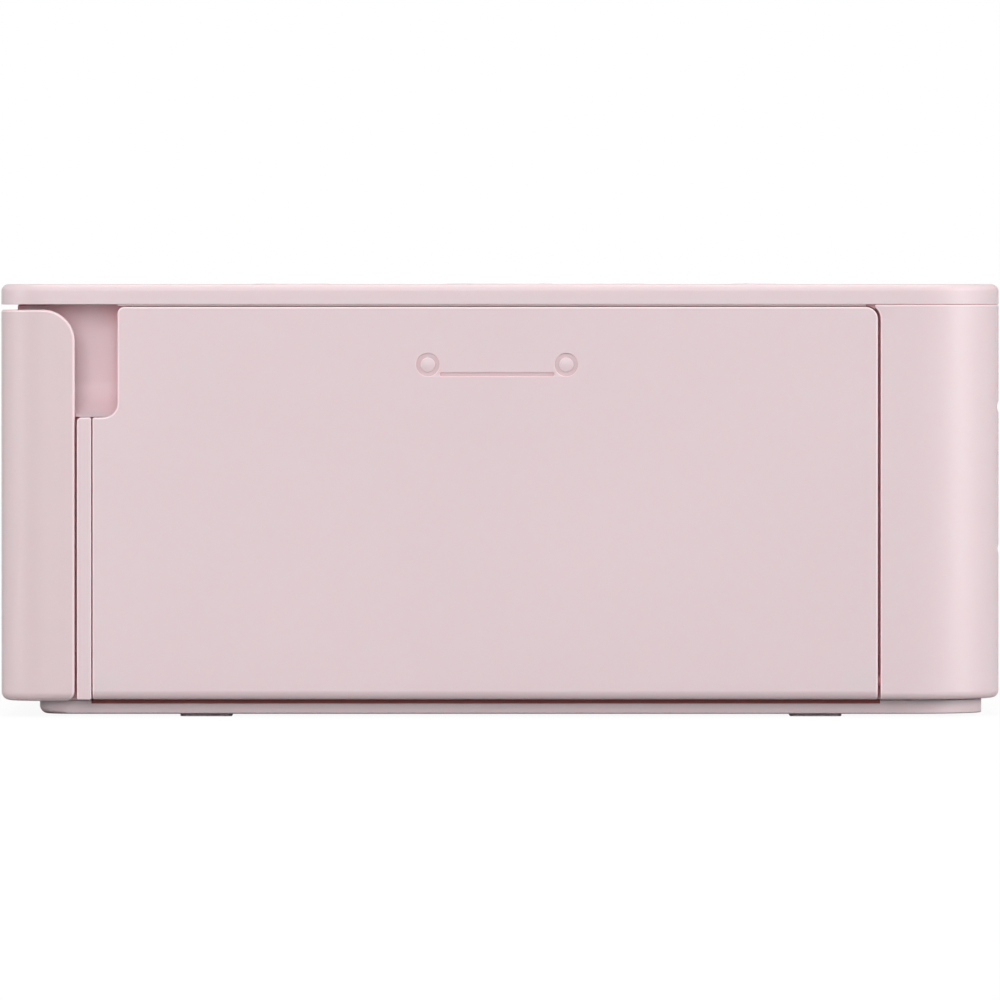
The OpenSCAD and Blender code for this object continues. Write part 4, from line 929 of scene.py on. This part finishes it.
def direction_keys():
    inner, gap, stem_r = OK_R + KEY_GAP + 0.2, 0.3, 9.8
    tip = [(11.5, 0), (10.1, 0.95), (10.1, -0.95)]
    for name, a in (("right_key", 0), ("up_key", 90), ("left_key", 180), ("down_key", 270)):
        c, s = math.cos(math.radians(a)), math.sin(math.radians(a))
        stem = (PAD[0] + stem_r * c, PAD[1] + stem_r * s)
        parts = cap(quarter(a, inner, PAD_R, gap), stem, quarter(a, inner, PAD_R + 1, gap), 0.3)
        piece(name + "_cap", parts, KEYS, name, [name])
        arrow = [(PAD[0] + u * c - v * s, PAD[1] + u * s + v * c, 0.12) for u, v in tip]
        icon(name + "_mark", [(rounded(arrow, 3), [])], name)
    piece("ok_key", cap(circle(*PAD, OK_R, 64), PAD, None), KEYS, "ok_button", ["ok_button"])
    icon("ok_mark", [(circle(*PAD, 1.5, 40), [circle(*PAD, 1.1, 40)])], "ok_button")


casing()
base()
feet()
front_cover()
front_frame()
scoop()
ink_door()
rear_panel()
top_plate()
lcd()
power_key()
oblong_keys()
direction_keys()


# ---- Floor, light and camera ----

def floor():
    """A sheet that looks nearly white and keeps the shadow, but throws less light onto the object."""
    bm = bmesh.new()
    bmesh.ops.create_grid(bm, x_segments=8, y_segments=8, size=2.4)
    me = bpy.data.meshes.new("floor")
    bm.to_mesh(me)
    bm.free()
    ob = bpy.data.objects.new("floor", me)
    SCENE.collection.objects.link(ob)
    m = bpy.data.materials.new("floor_paper")
    m.use_nodes = True
    t = m.node_tree
    p = t.nodes["Principled BSDF"]
    p.inputs["Roughness"].default_value = 0.9
    p.inputs["Specular IOR Level"].default_value = 0.0
    glow = t.nodes.new("ShaderNodeEmission")
    glow.inputs["Strength"].default_value = 1.0
    part = t.nodes.new("ShaderNodeMixShader")
    seen = t.nodes.new("ShaderNodeLightPath")
    share = t.nodes.new("ShaderNodeMath")
    share.operation = "MULTIPLY"
    share.inputs[1].default_value = 0.93
    pale = t.nodes.new("ShaderNodeMapRange")
    pale.inputs["To Min"].default_value, pale.inputs["To Max"].default_value = 0.4, 0.93
    t.links.new(seen.outputs["Is Camera Ray"], pale.inputs["Value"])
    t.links.new(pale.outputs["Result"], p.inputs["Base Color"])
    t.links.new(seen.outputs["Is Camera Ray"], share.inputs[0])
    t.links.new(share.outputs[0], part.inputs["Fac"])
    t.links.new(p.outputs[0], part.inputs[1])
    t.links.new(glow.outputs[0], part.inputs[2])
    t.links.new(part.outputs[0], t.nodes["Material Output"].inputs["Surface"])
    me.materials.append(m)


def world(strength):
    """White to the camera. Its light and its reflections are weaker from behind the object."""
    w = bpy.data.worlds.new("studio")
    SCENE.world = w
    w.use_nodes = True
    t = w.node_tree
    t.nodes.clear()
    out = t.nodes.new("ShaderNodeOutputWorld")
    seen = t.nodes.new("ShaderNodeLightPath")
    way = t.nodes.new("ShaderNodeSeparateXYZ")
    t.links.new(t.nodes.new("ShaderNodeTexCoord").outputs["Generated"], way.inputs["Vector"])

    def light(behind, ahead):
        shade = t.nodes.new("ShaderNodeBackground")
        level = t.nodes.new("ShaderNodeMapRange")
        for name, value in (("From Min", -0.65), ("From Max", 0.0), ("To Min", behind), ("To Max", ahead)):
            level.inputs[name].default_value = value
        shade.inputs["Color"].default_value = (1, 1, 1, 1)
        t.links.new(way.outputs["X"], level.inputs["Value"])
        t.links.new(level.outputs["Result"], shade.inputs["Strength"])
        return shade.outputs[0]

    def choose(when, a, b):
        mix = t.nodes.new("ShaderNodeMixShader")
        t.links.new(seen.outputs[when], mix.inputs["Fac"])
        t.links.new(a, mix.inputs[1])
        t.links.new(b, mix.inputs[2])
        return mix.outputs[0]
    white = light(1.0, 1.0)
    shown = choose("Is Glossy Ray", light(strength * 0.6, strength), light(0.25, 1.0))
    shown = choose("Is Transmission Ray", shown, white)
    t.links.new(choose("Is Camera Ray", shown, white), out.inputs["Surface"])


def lamp(name, at, to, w, h, watts):
    data = bpy.data.lights.new(name, "AREA")
    data.shape = "RECTANGLE"
    data.size, data.size_y = w, h
    data.energy = watts
    ob = bpy.data.objects.new(name, data)
    ob.location = at
    ob.rotation_mode = "QUATERNION"
    ob.rotation_quaternion = (Vector(to) - Vector(at)).to_track_quat("-Z", "Y")
    SCENE.collection.objects.link(ob)


floor()
world(0.66)
# Name, place, aim, size in metres and power in watts
lamp("lamp_front", (1.65, -0.25, 0.65), (0.05, 0, 0.03), 1.1, 1.0, 9.4)
lamp("lamp_rear", (0.42, 1.25, 0.30), (0.08, 0.05, 0.03), 0.5, 0.9, 9.2)
lamp("lamp_left", (0.42, -1.25, 0.30), (0.08, -0.05, 0.03), 0.4, 0.9, 4.6)
lamp("lamp_top", (-0.2, 0.1, 1.5), (0, 0, 0.03), 1.1, 1.1, 7.0)

cam = bpy.data.cameras.new("camera")
cam.sensor_width = 36.0
cam.lens = 596.4
# It stands 2.2 m off the ink door's side and as high as the joint of the shell and the top plate
eye, aim = Vector((2.291, -0.000106, 0.0545)), Vector((0.091, -0.000106, 0.02883))
cam.clip_start, cam.clip_end = 0.1, 30.0
camera = bpy.data.objects.new("camera", cam)
camera.location = eye
camera.rotation_mode = "QUATERNION"
camera.rotation_quaternion = (aim - eye).to_track_quat("-Z", "Y")
SCENE.collection.objects.link(camera)
SCENE.camera = camera
SCENE.view_settings.view_transform = "Standard"
